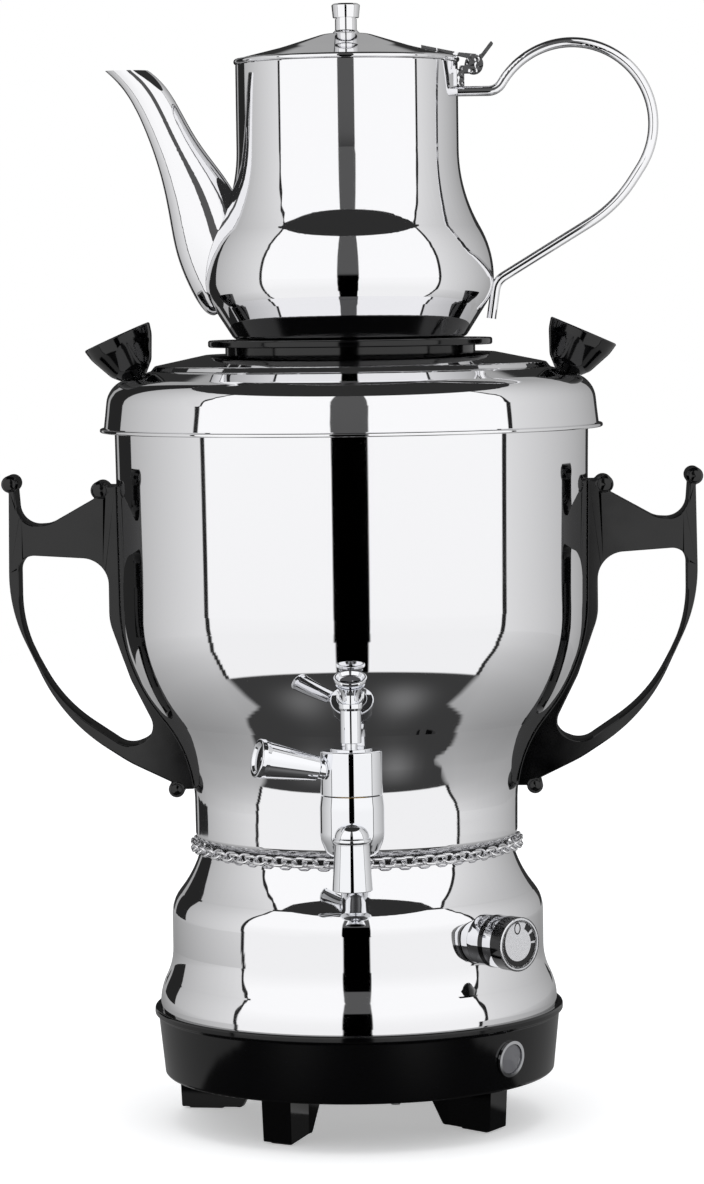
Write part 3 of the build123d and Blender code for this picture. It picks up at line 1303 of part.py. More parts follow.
def make_key_crown():
    """Bell from the collar up to the cup's underside, with hooks round its foot."""
    low = STEM_TOP_Z + COLLAR_HEIGHT
    high = CUP_Z + CUP_DEPTH
    crown = turned([
        (0, low), (BELL_FOOT_R, low), (BELL_FOOT_R, low + BELL_NECK, 5.0),
        (BELL_R, low + BELL_BELLY, 4.0), (BELL_R, high), (0, high),
    ])
    foot = Vector(HOOK_FOOT_R - HOOK_R, 0, low + HOOK_R)
    bow = Vector(HOOK_BOW[0], 0, low + HOOK_BOW[1])
    tip = Vector(HOOK_TIP[0], 0, low + HOOK_TIP[1])
    path = ThreePointArc(foot, bow, tip)
    section = Plane(foot, z_dir=path % 0) * Circle(HOOK_R)
    hook = sweep(section, path=path)
    for i in range(HOOKS):
        crown += Rot(0, 0, 45 + 360 / HOOKS * i) * hook
    crown -= Pos(0, 0, low - THROUGH / 2) * Cylinder(2 * COLLAR_R, THROUGH)
    above = disc(3 * CUP_R, cup_plane(), -CUP_DEPTH - SEAT_GAP, THROUGH)
    return on_tap(crown) - above


def make_key_cup():
    """Shallow dished cup on the crown."""
    cup = turned([
        (0, -CUP_DEPTH), (CUP_R - 1.4, -CUP_DEPTH, 1.0), (CUP_R, -1.4, 0.8), (CUP_R, 0, 0.4),
        (CUP_R - 1.0, 0, 0.3), (CUP_R - 2.2, -1.6, 1.0), (0, -CUP_DEPTH + 0.9),
    ])
    return cup_plane() * cup


# ---------------------------------------------------------------- samovar lid

def lid_outline():
    """Outer face of the lid from its steam hole to its foot."""
    return [
        (LID_HOLE_R, LID_TOP_Z),
        (LID_PLATEAU_R, LID_TOP_Z, 6.0),
        (LID_STEP_R - 1.8, LID_STEP_Z + LID_STEP, 1.4),
        (LID_STEP_R, LID_STEP_Z, 1.6),
        (LID_SHOULDER_R, LID_SHOULDER_Z, 12.0),
        (LID_WALL_R, LID_BRIM_Z + LID_BRIM),
    ]


def lid_core():
    """Solid inside the lid's outer face, grown by the seat gap."""
    grown = inset(lid_outline(), -SEAT_GAP)
    return turned([(0, grown[0][1])] + grown + [(0, grown[-1][1])])


def lid_slope():
    """Angle of the lid's sloping shoulder in radians."""
    return atan2(LID_STEP_Z - LID_SHOULDER_Z, LID_SHOULDER_R - LID_STEP_R)


def lid_knob_plane(side):
    """Plane on a knob's axis a little under the lid's face, leaning outwards."""
    lean = radians(LID_KNOB_LEAN)
    height = radius_slope_z(LID_KNOB_SEAT_R) - LID_KNOB_SINK
    return Plane((side * LID_KNOB_SEAT_R, 0, height),
                 z_dir=(side * sin(lean), 0, cos(lean)))


def lid_knob_head_seat():
    """Distance from a knob's plane down to its screw's head, clear of the lid's underside."""
    lean = radians(LID_KNOB_LEAN) - lid_slope()
    face = LID_KNOB_SINK * cos(lid_slope()) / cos(lean)
    return face - SHEET / cos(lean) - 2 * LID_KNOB_SCREW_R * tan(lean) - SEAT_GAP


def radius_slope_z(radius):
    """Height of the lid's sloping shoulder at this radius."""
    share = (radius - LID_STEP_R) / (LID_SHOULDER_R - LID_STEP_R)
    return LID_STEP_Z + share * (LID_SHOULDER_Z - LID_STEP_Z)


def make_samovar_lid():
    """Bright domed lid with a rolled brim."""
    lid = turned(shell_of(lid_outline(), SHEET))
    brim = turned([
        (LID_WALL_R - SHEET, LID_BRIM_Z + LID_BRIM), (LID_WALL_R - SHEET, LID_BRIM_Z + 0.6, 0.4),
        (LID_WALL_R, LID_BRIM_Z, 0.5), (LID_BRIM_R, LID_BRIM_Z, 0.7),
        (LID_BRIM_R, LID_BRIM_Z + LID_BRIM - 0.4, 0.7), (LID_WALL_R, LID_BRIM_Z + LID_BRIM),
    ])
    lid += brim
    for side in (1, -1):
        hole = lid_knob_plane(side)
        lid -= disc(LID_KNOB_SCREW_R + SEAT_GAP, hole, -THROUGH / 2, THROUGH / 2)
    return lid


SEAT_RING_Z = TANK_TOP_Z + REST_GAP


def make_lid_seat_ring():
    """Locating ring welded inside the lid: it rests on the bead and dips in the tank."""
    outer = radius_at(lid_outline(), SEAT_RING_Z + SHEET) - SHEET - 2 * SEAT_GAP
    return turned([
        (LID_SKIRT_R - SHEET, SEAT_RING_Z - LID_SKIRT_DEPTH),
        (LID_SKIRT_R, SEAT_RING_Z - LID_SKIRT_DEPTH),
        (LID_SKIRT_R, SEAT_RING_Z, 1.0),
        (outer, SEAT_RING_Z),
        (outer, SEAT_RING_Z + SHEET),
        (SEAT_RING_R, SEAT_RING_Z + SHEET),
        (SEAT_RING_R, SEAT_RING_Z),
        (LID_SKIRT_R - SHEET, SEAT_RING_Z, 1.0),
    ])


def lid_knob_profile():
    """Half outline of a lid knob: narrow foot, bell side and shallow dished top."""
    length, radius = LID_KNOB_LENGTH, LID_KNOB_R
    return [
        (0, 0), (LID_KNOB_FOOT_R, 0, 0.6), (LID_KNOB_FOOT_R + 4.6, 4.6, 7.0),
        (radius - 1.2, length - 5.5, 14.0), (radius, length, 0.7),
        (radius - 2.0, length - 0.6, 0.6), (0, length - 1.4),
    ]


def make_lid_knob(side):
    """Black bell-shaped knob on the lid's shoulder, its foot cut to the lid's face."""
    plane = lid_knob_plane(side)
    knob = plane * turned(lid_knob_profile()) - lid_core()
    depth = LID_KNOB_SCREW_DEPTH + TURN_GAP
    return knob - disc(LID_KNOB_SCREW_R + SEAT_GAP, plane, -THROUGH / 2, depth)


def make_lid_knob_screws():
    """Screws from inside the lid up into its knobs."""
    screws = []
    for side in (1, -1):
        plane = lid_knob_plane(side)
        head_seat = lid_knob_head_seat()
        screw = disc(LID_KNOB_SCREW_R, plane, head_seat, LID_KNOB_SCREW_DEPTH)
        head = disc(2 * LID_KNOB_SCREW_R, plane, head_seat - LID_KNOB_HEAD, head_seat)
        screws.append(screw + head)
    return screws


STAND_TOP_Z = LID_TOP_Z + SEAT_GAP + STAND_HUB + STAND_SLAB


def make_pot_stand():
    """Black stand on the lid: sleeve, hub, and a wider slab with a recess and steam ports."""
    low = LID_TOP_Z + SEAT_GAP
    hollow = low + STAND_HOLLOW
    slab_low = low + STAND_HUB
    sleeve_r = LID_HOLE_R - SLEEVE_EASE
    rest_in = POT_BOTTOM_R - REST_WIDTH
    stand = turned([
        (0, hollow),
        (sleeve_r - SLEEVE_WALL, hollow),
        (sleeve_r - SLEEVE_WALL, low - SLEEVE_DEPTH),
        (sleeve_r, low - SLEEVE_DEPTH),
        (sleeve_r, low),
        (STAND_HUB_R, low),
        (STAND_HUB_R, slab_low),
        (STAND_R, slab_low, 0.9),
        (STAND_R, STAND_TOP_Z, 0.9),
        (rest_in, STAND_TOP_Z),
        (rest_in - STAND_RECESS, STAND_TOP_Z - STAND_RECESS),
        (0, STAND_TOP_Z - STAND_RECESS),
    ])
    for i in range(STAND_PORTS):
        spot = ray(360 / STAND_PORTS * i) * STAND_PORT_CIRCLE_R
        stand -= Pos(spot.X, spot.Y, LID_TOP_Z) * Cylinder(STAND_PORT_R, THROUGH)
    return stand


# ---------------------------------------------------------------- teapot

POT_BOTTOM_Z = STAND_TOP_Z + REST_GAP


def pot_outline():
    """Outer face of the teapot from its rim down to the middle of its bottom."""
    return [
        (POT_R, POT_TOP_Z),
        (POT_R, POT_FLARE_Z, 69.0),
        (POT_BELLY_R, POT_BELLY_TOP_Z, 45.0),
        (POT_BELLY_R, POT_BELLY_LOW_Z, 21.5),
        (POT_BOTTOM_R, POT_BOTTOM_Z, POT_FILLET),
        (0, POT_BOTTOM_Z),
    ]


def pot_solid(ease=0.0):
    """Full body inside the teapot's outer face, grown by ease."""
    outline = inset(pot_outline(), -ease) if ease else pot_outline()
    above = POT_TOP_Z + THROUGH
    outline = [(outline[0][0], above)] + list(outline[1:-1]) + [(0, outline[-1][1])]
    return turned([(0, above)] + outline)


def strainer_places():
    """Heights and azimuths of the strainer holes behind the spout."""
    places = []
    for row in range(STRAINER_ROWS):
        height = POT_BELLY_LOW_Z + STRAINER_START + STRAINER_PITCH * row
        for column in range(-1 - row % 2, 3, 2):
            places.append((height, SPOUT_AZIMUTH + STRAINER_STEP * column))
    return places


def make_pot_body():
    """Bright teapot body with strainer holes behind the spout."""
    pot = turned(pot_wall())
    for height, azimuth in strainer_places():
        hole = radial_plane(azimuth, POT_R, height)
        pot -= disc(STRAINER_HOLE_R, hole, -THROUGH / 3, THROUGH)
    return pot


def pot_wall():
    """Closed outline of the teapot's sheet, wall and bottom in one."""
    inner = inset(pot_outline(), POT_SHEET)
    inner = inner[:-1] + [(0, POT_BOTTOM_Z + POT_SHEET)]
    return pot_outline() + inner[::-1]


def spout_stations():
    """Lower and upper contour points of the spout, and its width front to back."""
    return [
        ((-112.5, 474.5), (-103.0, 479.5), 11.0),
        ((-101.5, 462.8), (-89.0, 468.6), 12.6),
        ((-94.5, 452.8), (-80.0, 460.4), 14.0),
        ((-88.2, 438.5), (-71.8, 446.6), 16.0),
        ((-83.2, 423.0), (-64.0, 433.4), 18.6),
        ((-79.6, 406.0), (-55.0, 421.0), 22.0),
        ((-76.6, 389.0), (-46.0, 405.0), 25.0),
        ((-70.8, 372.5), (-38.0, 388.0), 26.0),
        ((-60.0, 359.5), (-30.0, 374.0), 24.0),
    ]


def spout_solid(thin):
    """Spout form lofted through ovals, thinner all round by thin."""
    ovals = []
    for low, high, width in spout_stations():
        low, high = Vector(low[0], 0, low[1]), Vector(high[0], 0, high[1])
        across = high - low
        plane = Plane((low + high) / 2, x_dir=across, z_dir=across.cross(Vector(0, 1, 0)))
        ovals.append(plane * Ellipse(across.length / 2 - thin, width / 2 - thin))
    return loft(ovals)


def make_pot_spout():
    """Hollow spout cut to the pot's side, with a level mouth."""
    spout = spout_solid(0) - spout_solid(SPOUT_WALL)
    spout -= pot_solid(SEAT_GAP)
    span = 2 * spout_stations()[0][0][0]
    return spout - block((span, 0), (span, -span), (SPOUT_MOUTH_Z, SPOUT_MOUTH_Z + THROUGH))


def strap_path():
    """Centre line of the teapot's handle strap."""
    strap_start = POT_R - STRAP_START
    bend = STRAP_BEND
    meet = LOOP_R + bend
    bend_z = STRAP_Z + bend
    bend_x = LOOP_X - sqrt(meet ** 2 - (bend_z - LOOP_Z) ** 2)
    to_loop = Vector(LOOP_X - bend_x, 0, LOOP_Z - bend_z).normalized()
    touch = Vector(bend_x, 0, bend_z) + to_loop * bend
    start_angle = atan2(touch.Z - LOOP_Z, touch.X - LOOP_X)
    end_angle = radians(LOOP_END)
    middle_angle = (start_angle + end_angle) / 2
    on_loop = [Vector(LOOP_X + LOOP_R * cos(a), 0, LOOP_Z + LOOP_R * sin(a))
               for a in (start_angle, middle_angle, end_angle)]
    centre = Vector(bend_x, 0, bend_z)
    half = (Vector(0, 0, -1) + to_loop).normalized()
    run_out = Vector(sin(end_angle), 0, -cos(end_angle))
    elbow = on_loop[2] + run_out * STRAP_RUN
    last = bent_edges([(on_loop[2].X, on_loop[2].Z), (elbow.X, elbow.Z, STRAP_ELBOW_BEND),
                       (*STRAP_KNEE, STRAP_KNEE_BEND), STRAP_FOOT], False)
    first = Line((strap_start, 0, STRAP_Z), (bend_x, 0, STRAP_Z))
    small = ThreePointArc(Vector(bend_x, 0, STRAP_Z), centre + half * bend, touch)
    loop = ThreePointArc(*on_loop)
    return Wire([e for piece in [first, small, loop] + last for e in piece.edges()])


def make_pot_handle():
    """Bright oval strap swept along the handle's line."""
    path = strap_path()
    section = Plane(path @ 0, x_dir=(0, 1, 0), z_dir=path % 0)
    oval = section * RectangleRounded(STRAP_DEPTH, STRAP, STRAP / 2 - STRAP_EDGE)
    strap = sweep(oval, path=path)
    return strap - pot_solid(SEAT_GAP)


def barrel(radius, start, end):
    """Cylinder on the hinge's axis between two Y values."""
    length = end - start
    return Pos(HINGE_X, (start + end) / 2, HINGE_Z) * Rot(90, 0, 0) * Cylinder(radius, length)


def make_hinge_bracket():
    """Bright bracket on the pot: back plate over the strap and two eyes."""
    half, knuckle = BARREL_LENGTH / 2, KNUCKLE / 2 + TURN_GAP
    inside = POT_R - BRACKET_POST
    strap_top = STRAP_Z + STRAP / 2 + SEAT_GAP
    bracket = None
    for side in (1, -1):
        y = sorted((side * knuckle, side * half))
        arm_top = HINGE_Z - ARM_DROP
        post = block((inside, POT_R + BRACKET_POST), y, (strap_top, arm_top))
        arm = block((inside, HINGE_X), y, (arm_top - BRACKET_ARM, arm_top))
        eye = post + arm + barrel(BARREL_R, *y)
        bracket = eye if bracket is None else bracket + eye
    bracket += block((inside, POT_R + BRACKET_PLATE), (-half, half),
                     (strap_top, HINGE_Z - BARREL_R - PIN_HEAD))
    bracket -= pot_solid(SEAT_GAP)
    free_r, low, high = POT_LID_R + TURN_GAP, POT_TOP_Z - BRACKET_ARM, POT_TOP_Z + THROUGH
    bracket -= turned([(0, low), (free_r, low), (free_r, high), (0, high)])
    return bracket - barrel(PIN_R + RUN_GAP, -BARREL_LENGTH, BARREL_LENGTH)


def make_hinge_pin():
    """Pin through the bracket's eyes and the lid's knuckle."""
    half = BARREL_LENGTH / 2
    seat, end = half + SEAT_GAP, half + SEAT_GAP + PIN_HEAD
    pin = barrel(PIN_R, -end, end)
    pin += barrel(PIN_R + PIN_HEAD, -end, -seat)
    return pin + barrel(PIN_R + PIN_HEAD, seat, end)


def pot_lid_outline():
    """Outer face of the teapot lid from its middle to its rim."""
    rim_z = POT_TOP_Z + REST_GAP + 2 * POT_LID_BEAD
    return [
        (0, POT_LID_DOME_Z), (POT_LID_CROWN_R, POT_LID_DOME_Z, 16.0),
        (POT_LID_SLOPE_X, POT_LID_DOME_Z - POT_LID_SLOPE, 70.0),
        (POT_LID_R - POT_LID_BEAD, rim_z - 0.1),
    ]


def make_pot_lid():
    """Bright domed lid with a rolled rim and a skirt inside the pot."""
    low = POT_TOP_Z + REST_GAP
    outer = pot_lid_outline()
    inner = inset(outer, POT_SHEET)
    inner = [(0, POT_LID_DOME_Z - POT_SHEET)] + inner[1:]
    lid = turned(outer + inner[::-1])
    bead = Plane.XZ * Pos(POT_LID_R - POT_LID_BEAD, low + POT_LID_BEAD) * Circle(POT_LID_BEAD)
    lid += revolve(bead, Axis.Z, 360)
    skirt_r = POT_R - POT_SHEET - POT_LID_SKIRT_GAP
    lid += turned([
        (skirt_r - POT_SHEET, POT_TOP_Z - POT_LID_SKIRT), (skirt_r, POT_TOP_Z - POT_LID_SKIRT),
        (skirt_r, low), (POT_LID_R - POT_LID_BEAD, low),
        (POT_LID_R - POT_LID_BEAD, low + POT_SHEET), (skirt_r - POT_SHEET, low + POT_SHEET),
    ])
    lid -= Pos(0, 0, POT_LID_DOME_Z) * Cylinder(STUD_R + SEAT_GAP, FINIAL_STEM)
    return lid


def make_lid_strap():
    """Bright hinge leaf on the lid: strap over the rim, knuckle and thumb tab."""
    half = KNUCKLE / 2
    skin = pot_lid_outline()
    start_x = LEAF_START_X
    slope = (skin[3][1] - skin[2][1]) / (skin[3][0] - skin[2][0])
    start_z = skin[2][1] + slope * (start_x - skin[2][0]) + 0.2
    rim_z = skin[3][1] + 0.25
    top_z = HINGE_Z + BARREL_R - 0.2
    leaf = [
        (start_x, start_z), (POT_LID_R, rim_z), (HINGE_X, top_z - 1.5), (HINGE_X + 3.6, top_z - 1.4),
        (HINGE_X + TAB_REACH, HINGE_Z + TAB_RISE, 0.3),
        (HINGE_X + TAB_REACH - 1.0, HINGE_Z + TAB_RISE + 1.2, 0.4),
        (HINGE_X + 3.0, top_z + 0.4, 1.5), (POT_LID_R - 1.0, rim_z + 1.6, 3.0),
        (start_x, start_z + LEAF - 0.2),
    ]
    strap = extrude(Pos(0, half, 0) * face_of(leaf), amount=KNUCKLE, dir=(0, -1, 0))
    strap += barrel(BARREL_R, -half, half)
    under, free_r = POT_LID_DOME_Z - THROUGH, POT_LID_R + 3 * SEAT_GAP
    lid_zone = turned([(0, under), (free_r, under), (free_r, skin[3][1] - 0.2)]
                      + [(x, z + SEAT_GAP, *rest) for x, z, *rest in skin[:0:-1]]
                      + [(0, POT_LID_DOME_Z + SEAT_GAP)])
    strap -= lid_zone
    return strap - barrel(PIN_R + RUN_GAP, -BARREL_LENGTH, BARREL_LENGTH)


def make_finial():
    """Bright finial: flared seat, stem, groove and cap, drilled for its stud."""
    low = POT_LID_DOME_Z + SEAT_GAP
    stem_top = low + FINIAL_STEM
    top = stem_top + FINIAL_CAP
    knob = turned([
        (0, low), (FINIAL_R + FINIAL_SEAT, low, 0.3), (FINIAL_R, low + FINIAL_SEAT, 0.8),
        (FINIAL_R, stem_top - FINIAL_GROOVE), (FINIAL_GROOVE_R, stem_top - FINIAL_GROOVE),
        (FINIAL_GROOVE_R, stem_top), (FINIAL_CAP_LOW_R, stem_top, 0.2),
        (FINIAL_CAP_R, top - 0.7, 0.5), (FINIAL_CAP_R - 1.2, top, 0.6), (0, top),
    ])
    return knob - Pos(0, 0, low) * Cylinder(STUD_R + SEAT_GAP, 2 * (STUD_GRIP + TURN_GAP))


def make_finial_stud():
    """Screw from inside the lid into the finial."""
    under = POT_LID_DOME_Z - POT_SHEET - SEAT_GAP
    stud = bar(STUD_R, (0, 0, under - STUD_HEAD), (0, 0, POT_LID_DOME_Z + STUD_GRIP))
    return stud + bar(2 * STUD_R, (0, 0, under - STUD_HEAD), (0, 0, under))


# ---------------------------------------------------------------- all pieces

FRONT_REACH = TAP_REACH + LEVER_LENGTH * sin(radians(LEVER_TURN)) + LEVER_END_R
AXIS_Y = (FRONT_REACH - LID_BRIM_R) / 2


def make_parts():
    """Every node's solids by name."""
    right_handle = make_handle()
    return {
        "base_pan": make_base_pan(),
        "foot_pads": make_foot_pads(),
        "service_cover": make_service_cover(),
        "cover_screws": make_cover_screws(),
        "lamp_bezel": make_lamp_bezel(),
        "lamp_lens": make_lamp_lens(),
        "lamp_holder": make_lamp_holder(),
        "mains_inlet": make_mains_inlet(),
        "inlet_pins": make_inlet_pins(),
        "lower_shell": make_lower_shell(),
        "neck_packing": make_neck_packing(),
        "tie_rods": make_tie_rods(),
        "tie_nuts": make_tie_nuts(),
        "tank_shell": make_tank_shell(),
        "tank_floor": make_tank_floor(),
        "heat_plate": make_heat_plate(),
        "heating_element": make_heating_element(),
        "thermal_cutout": make_thermal_cutout(),
        "terminal_block": make_terminal_block(),
        "leads": make_leads(),
        "thermostat": make_thermostat(),
        "thermostat_bracket": make_thermostat_bracket(),
        "knob_bezel": make_knob_bezel(),
        "knob_shaft": make_knob_shaft(),
        "knob_core": make_knob_core(),
        "knob_band": make_knob_band(),
        "knob_grip": make_knob_grip(),
        "knob_cap": make_knob_cap(),
        "neck_chain": make_neck_chain(),
        "right_handle": right_handle,
        "left_handle": mirrored_x(right_handle),
        "handle_screws": make_handle_screws(),
        "handle_washers": make_handle_washers(),
        "tap_shank": make_tap_shank(),
        "tap_gaskets": make_tap_gaskets(),
        "tap_nut": make_tap_nut(),
        "tap_body": make_tap_body(),
        "tap_nozzle": make_tap_nozzle(),
        "tap_plug": make_tap_plug(),
        "tap_cap": make_tap_cap(),
        "tap_lever": make_tap_lever(),
        "key_stem": make_key_stem(),
        "key_crown": make_key_crown(),
        "key_cup": make_key_cup(),
        "samovar_lid": make_samovar_lid(),
        "lid_seat_ring": make_lid_seat_ring(),
        "lid_knob_right": make_lid_knob(1),
        "lid_knob_left": make_lid_knob(-1),
        "lid_knob_screws": make_lid_knob_screws(),
        "pot_stand": make_pot_stand(),
        "pot_body": make_pot_body(),
        "pot_spout": make_pot_spout(),
        "pot_handle": make_pot_handle(),
        "hinge_bracket": make_hinge_bracket(),
        "hinge_pin": make_hinge_pin(),
        "pot_lid": make_pot_lid(),
        "lid_strap": make_lid_strap(),
        "finial": make_finial(),
        "finial_stud": make_finial_stud(),
    }


def write_parts():
    """One STEP file per node, moved so that the footprint is centred on the origin."""
    os.makedirs("parts", exist_ok=True)
    for name, made in make_parts().items():
        solids = made if isinstance(made, list) else [made]
        pieces = [Pos(0, AXIS_Y, 0) * solid for item in solids for solid in item.solids()]
        shape = pieces[0] if len(pieces) == 1 else Compound(children=pieces)
        export_step(shape, f"parts/{name}.step")


write_parts()
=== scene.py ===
"""Polished electric samovar with its teapot: finishes, printed dial, studio and camera.

Lengths are metres in the frame of the solids, and MM turns millimetres into metres. Azimuths
are degrees round the upright axis: 0 at the front, positive to the right. New pieces are
surfaces worked out as whole numpy arrays, and each one's docstring gives its formula.
"""
import json
from math import cos, pi, radians, sin

import bmesh
import bpy
import numpy as np
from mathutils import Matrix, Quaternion, Vector


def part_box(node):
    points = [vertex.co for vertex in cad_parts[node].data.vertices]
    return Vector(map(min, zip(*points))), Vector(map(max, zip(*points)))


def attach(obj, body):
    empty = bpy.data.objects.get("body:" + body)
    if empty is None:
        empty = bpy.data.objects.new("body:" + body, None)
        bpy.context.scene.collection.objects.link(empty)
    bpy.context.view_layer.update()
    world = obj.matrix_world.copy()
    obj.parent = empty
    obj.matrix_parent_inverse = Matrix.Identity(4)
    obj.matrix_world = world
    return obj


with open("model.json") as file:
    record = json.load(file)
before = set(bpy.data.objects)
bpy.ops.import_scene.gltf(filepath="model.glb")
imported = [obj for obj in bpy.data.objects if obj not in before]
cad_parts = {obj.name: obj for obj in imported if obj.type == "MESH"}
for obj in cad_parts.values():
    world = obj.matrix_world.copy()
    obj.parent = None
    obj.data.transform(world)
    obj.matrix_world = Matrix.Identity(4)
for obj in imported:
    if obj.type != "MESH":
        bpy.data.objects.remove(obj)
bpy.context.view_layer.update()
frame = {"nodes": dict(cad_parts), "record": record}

MM = 0.001
NODES = frame["nodes"]


def middle(node):
    """Middle of a node's box."""
    low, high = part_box(node)
    return (low + high) / 2


AXIS_Y = middle("samovar_lid").y      # the upright axis stands at (0, AXIS_Y)


# ------------------------------------------------------------------ materials

def linear(hex_code):
    """Linear colour of an sRGB hex value, with alpha 1."""
    parts = [int(hex_code[i:i + 2], 16) / 255 for i in (1, 3, 5)]
    return tuple(c / 12.92 if c < 0.04045 else ((c + 0.055) / 1.055) ** 2.4
                 for c in parts) + (1.0,)


WHITE = linear("#ffffff")


def add(tree, kind, settings=None, **sockets):
    """Node of this kind; settings are its own properties, sockets its inputs.

    A socket is named by its label, or i0, i1, i2 by its number, and its value is a number or
    colour, or (node, output name) to link from.
    """
    node = tree.nodes.new(kind)
    for name, value in (settings or {}).items():
        setattr(node, name, value)
    for name, value in sockets.items():
        numbered = name[0] == "i" and name[1:].isdigit()
        socket = node.inputs[int(name[1:]) if numbered else name.replace("_", " ")]
        if isinstance(value, tuple) and isinstance(value[0], bpy.types.Node):
            tree.links.new(value[0].outputs[value[1]], socket)
        else:
            socket.default_value = value
    return node


def new_material(name):
    """Empty node material with its output; returns material, tree and output."""
    material = bpy.data.materials.new(name)
    material.use_nodes = True
    material.node_tree.nodes.clear()
    return material, material.node_tree, add(material.node_tree, "ShaderNodeOutputMaterial")


def patchy(low, high, size):
    """Roughness that wanders from low to high over patches of this size in mm."""
    def roughness(tree, place):
        noise = add(tree, "ShaderNodeTexNoise", Vector=place, Scale=1 / (size * MM), Detail=3.0)
        spread = add(tree, "ShaderNodeMapRange", Value=(noise, "Fac"),
                     From_Min=0.3, From_Max=0.7, To_Min=low, To_Max=high)
        return spread, "Result"
    return roughness


def finished(name, roughness, bumps=(), **shader):
    """Material with one Principled shader: patchy roughness, bumps and fixed inputs.

    bumps are (size in mm, height in mm) of noise laid over each other.
    """
    material, tree, output = new_material(name)
    place = (add(tree, "ShaderNodeTexCoord"), "Object")
    linked = {"Roughness": roughness(tree, place)}
    for size, height in bumps:
        noise = add(tree, "ShaderNodeTexNoise", Vector=place, Scale=1 / (size * MM), Detail=2.0)
        under = {"Normal": linked["Normal"]} if "Normal" in linked else {}
        bump = add(tree, "ShaderNodeBump", Height=(noise, "Fac"), Distance=height * MM,
                   Strength=1.0, **under)
        linked["Normal"] = (bump, "Normal")
    principled = add(tree, "ShaderNodeBsdfPrincipled", **shader, **linked)
    tree.links.new(principled.outputs["BSDF"], output.inputs["Surface"])
    return material


# Mirror-polished stainless sheet: buffed until it shows the room, with a trace of wave.
mirror_steel = finished("mirror_polished_stainless", patchy(0.02, 0.045, 40),
                        bumps=[(60, 0.003)], Base_Color=linear("#efeff1"), Metallic=1.0)
# Polished pressings: small bent sheet that buffing has left gently uneven.
pressed_steel = finished("polished_pressed_stainless", patchy(0.05, 0.09, 6),
                         bumps=[(5, 0.45)], Base_Color=linear("#efeff1"), Metallic=1.0)
# Bright chrome on turned brass: a shade cooler than steel and sharper still.
bright_chrome = finished("bright_chrome_on_brass", patchy(0.015, 0.03, 12),
                         Base_Color=linear("#f0f1f4"), Metallic=1.0)
# Glossy black ABS as moulded: deep black, clear highlights, a little flow wave.
black_abs = finished("glossy_black_abs", patchy(0.07, 0.12, 15),
                     bumps=[(9, 0.006)], Base_Color=linear("#020203"), IOR=1.5)
# Plain stainless of inner sheets, screws and nuts.
plain_stainless = finished("plain_stainless", patchy(0.25, 0.38, 6),
                           Base_Color=linear("#b9b9ba"), Metallic=1.0)
# Moulded rubber: dull black with a soft sheen.
rubber = finished("moulded_rubber", patchy(0.55, 0.7, 3),
                  bumps=[(0.8, 0.01)], Base_Color=linear("#161616"), IOR=1.5)
# Machined brass, slightly oxidised.
brass = finished("machined_brass", patchy(0.2, 0.32, 4),
                 Base_Color=linear("#c9a24e"), Metallic=1.0)
# Cast aluminium plate.
aluminium = finished("cast_aluminium", patchy(0.35, 0.5, 5),
                     bumps=[(1.5, 0.02)], Base_Color=linear("#c9cacc"), Metallic=1.0)
# Heat-proof black moulding with a fine spark-eroded grain.
dark_moulding = finished("heat_proof_moulding", patchy(0.4, 0.5, 2),
                         bumps=[(0.5, 0.01)], Base_Color=linear("#1c1c1d"), IOR=1.5)
# Pearl-grey acrylic lens over the pilot lamp, milky and glossy.
grey_acrylic = finished("pearl_grey_acrylic", patchy(0.04, 0.08, 3),
                        Base_Color=linear("#727275"), IOR=1.49, Transmission_Weight=0.1)
# Dial plate: aluminium blasted to a pale satin face, which scatters more than it mirrors.
satin_aluminium = finished("satin_aluminium", patchy(0.34, 0.42, 1.5),
                           bumps=[(0.3, 0.002)], Base_Color=linear("#dedee0"), Metallic=0.35)
# Printing ink on the dial.
dial_ink = finished("black_dial_ink", patchy(0.35, 0.45, 1),
                    Base_Color=linear("#101011"), IOR=1.5)

FINISHES = {
    "polished_steel": mirror_steel,
    "chromed_brass": bright_chrome,
    "black_plastic": black_abs,
    "plain_steel": plain_stainless,
    "black_rubber": rubber,
    "raw_brass": brass,
    "plain_aluminium": aluminium,
    "dark_plastic": dark_moulding,
    "smoked_lens": grey_acrylic,
}
PRESSINGS = ("hinge_bracket", "lid_strap", "hinge_pin")


def paint(thing, material):
    """Give a piece one material."""
    if not thing.material_slots:
        thing.data.materials.append(material)
    for slot in thing.material_slots:
        slot.material = material


for entry in frame["record"]["subparts"]:
    paint(NODES[entry["node"]], FINISHES[entry["material_slot"]])
for name in PRESSINGS:
    paint(NODES[name], pressed_steel)


# ------------------------------------------------------------------ rounded mouldings

SHARP_FROM = radians(42)    # an edge that bends less than this stays as it is
EDGE_ROUND = 0.6 * MM
EDGE_STEPS = 3
WELD_WITHIN = 1e-6


def soften(node):
    """Round the sharp edges of a moulding: weld its mesh, then bevel by EDGE_ROUND."""
    weld = node.modifiers.new("weld", "WELD")
    weld.merge_threshold = WELD_WITHIN
    bevel = node.modifiers.new("bevel", "BEVEL")
    bevel.limit_method = "ANGLE"
    bevel.angle_limit = SHARP_FROM
    bevel.width = EDGE_ROUND
    bevel.segments = EDGE_STEPS
    bevel.use_clamp_overlap = False


for name in ("left_handle", "right_handle"):
    soften(NODES[name])


# ------------------------------------------------------------------ dial

SMOOTH_UP_TO = radians(30)  # edges of a new piece that bend more than this stay sharp
JOIN_WITHIN = 1e-7


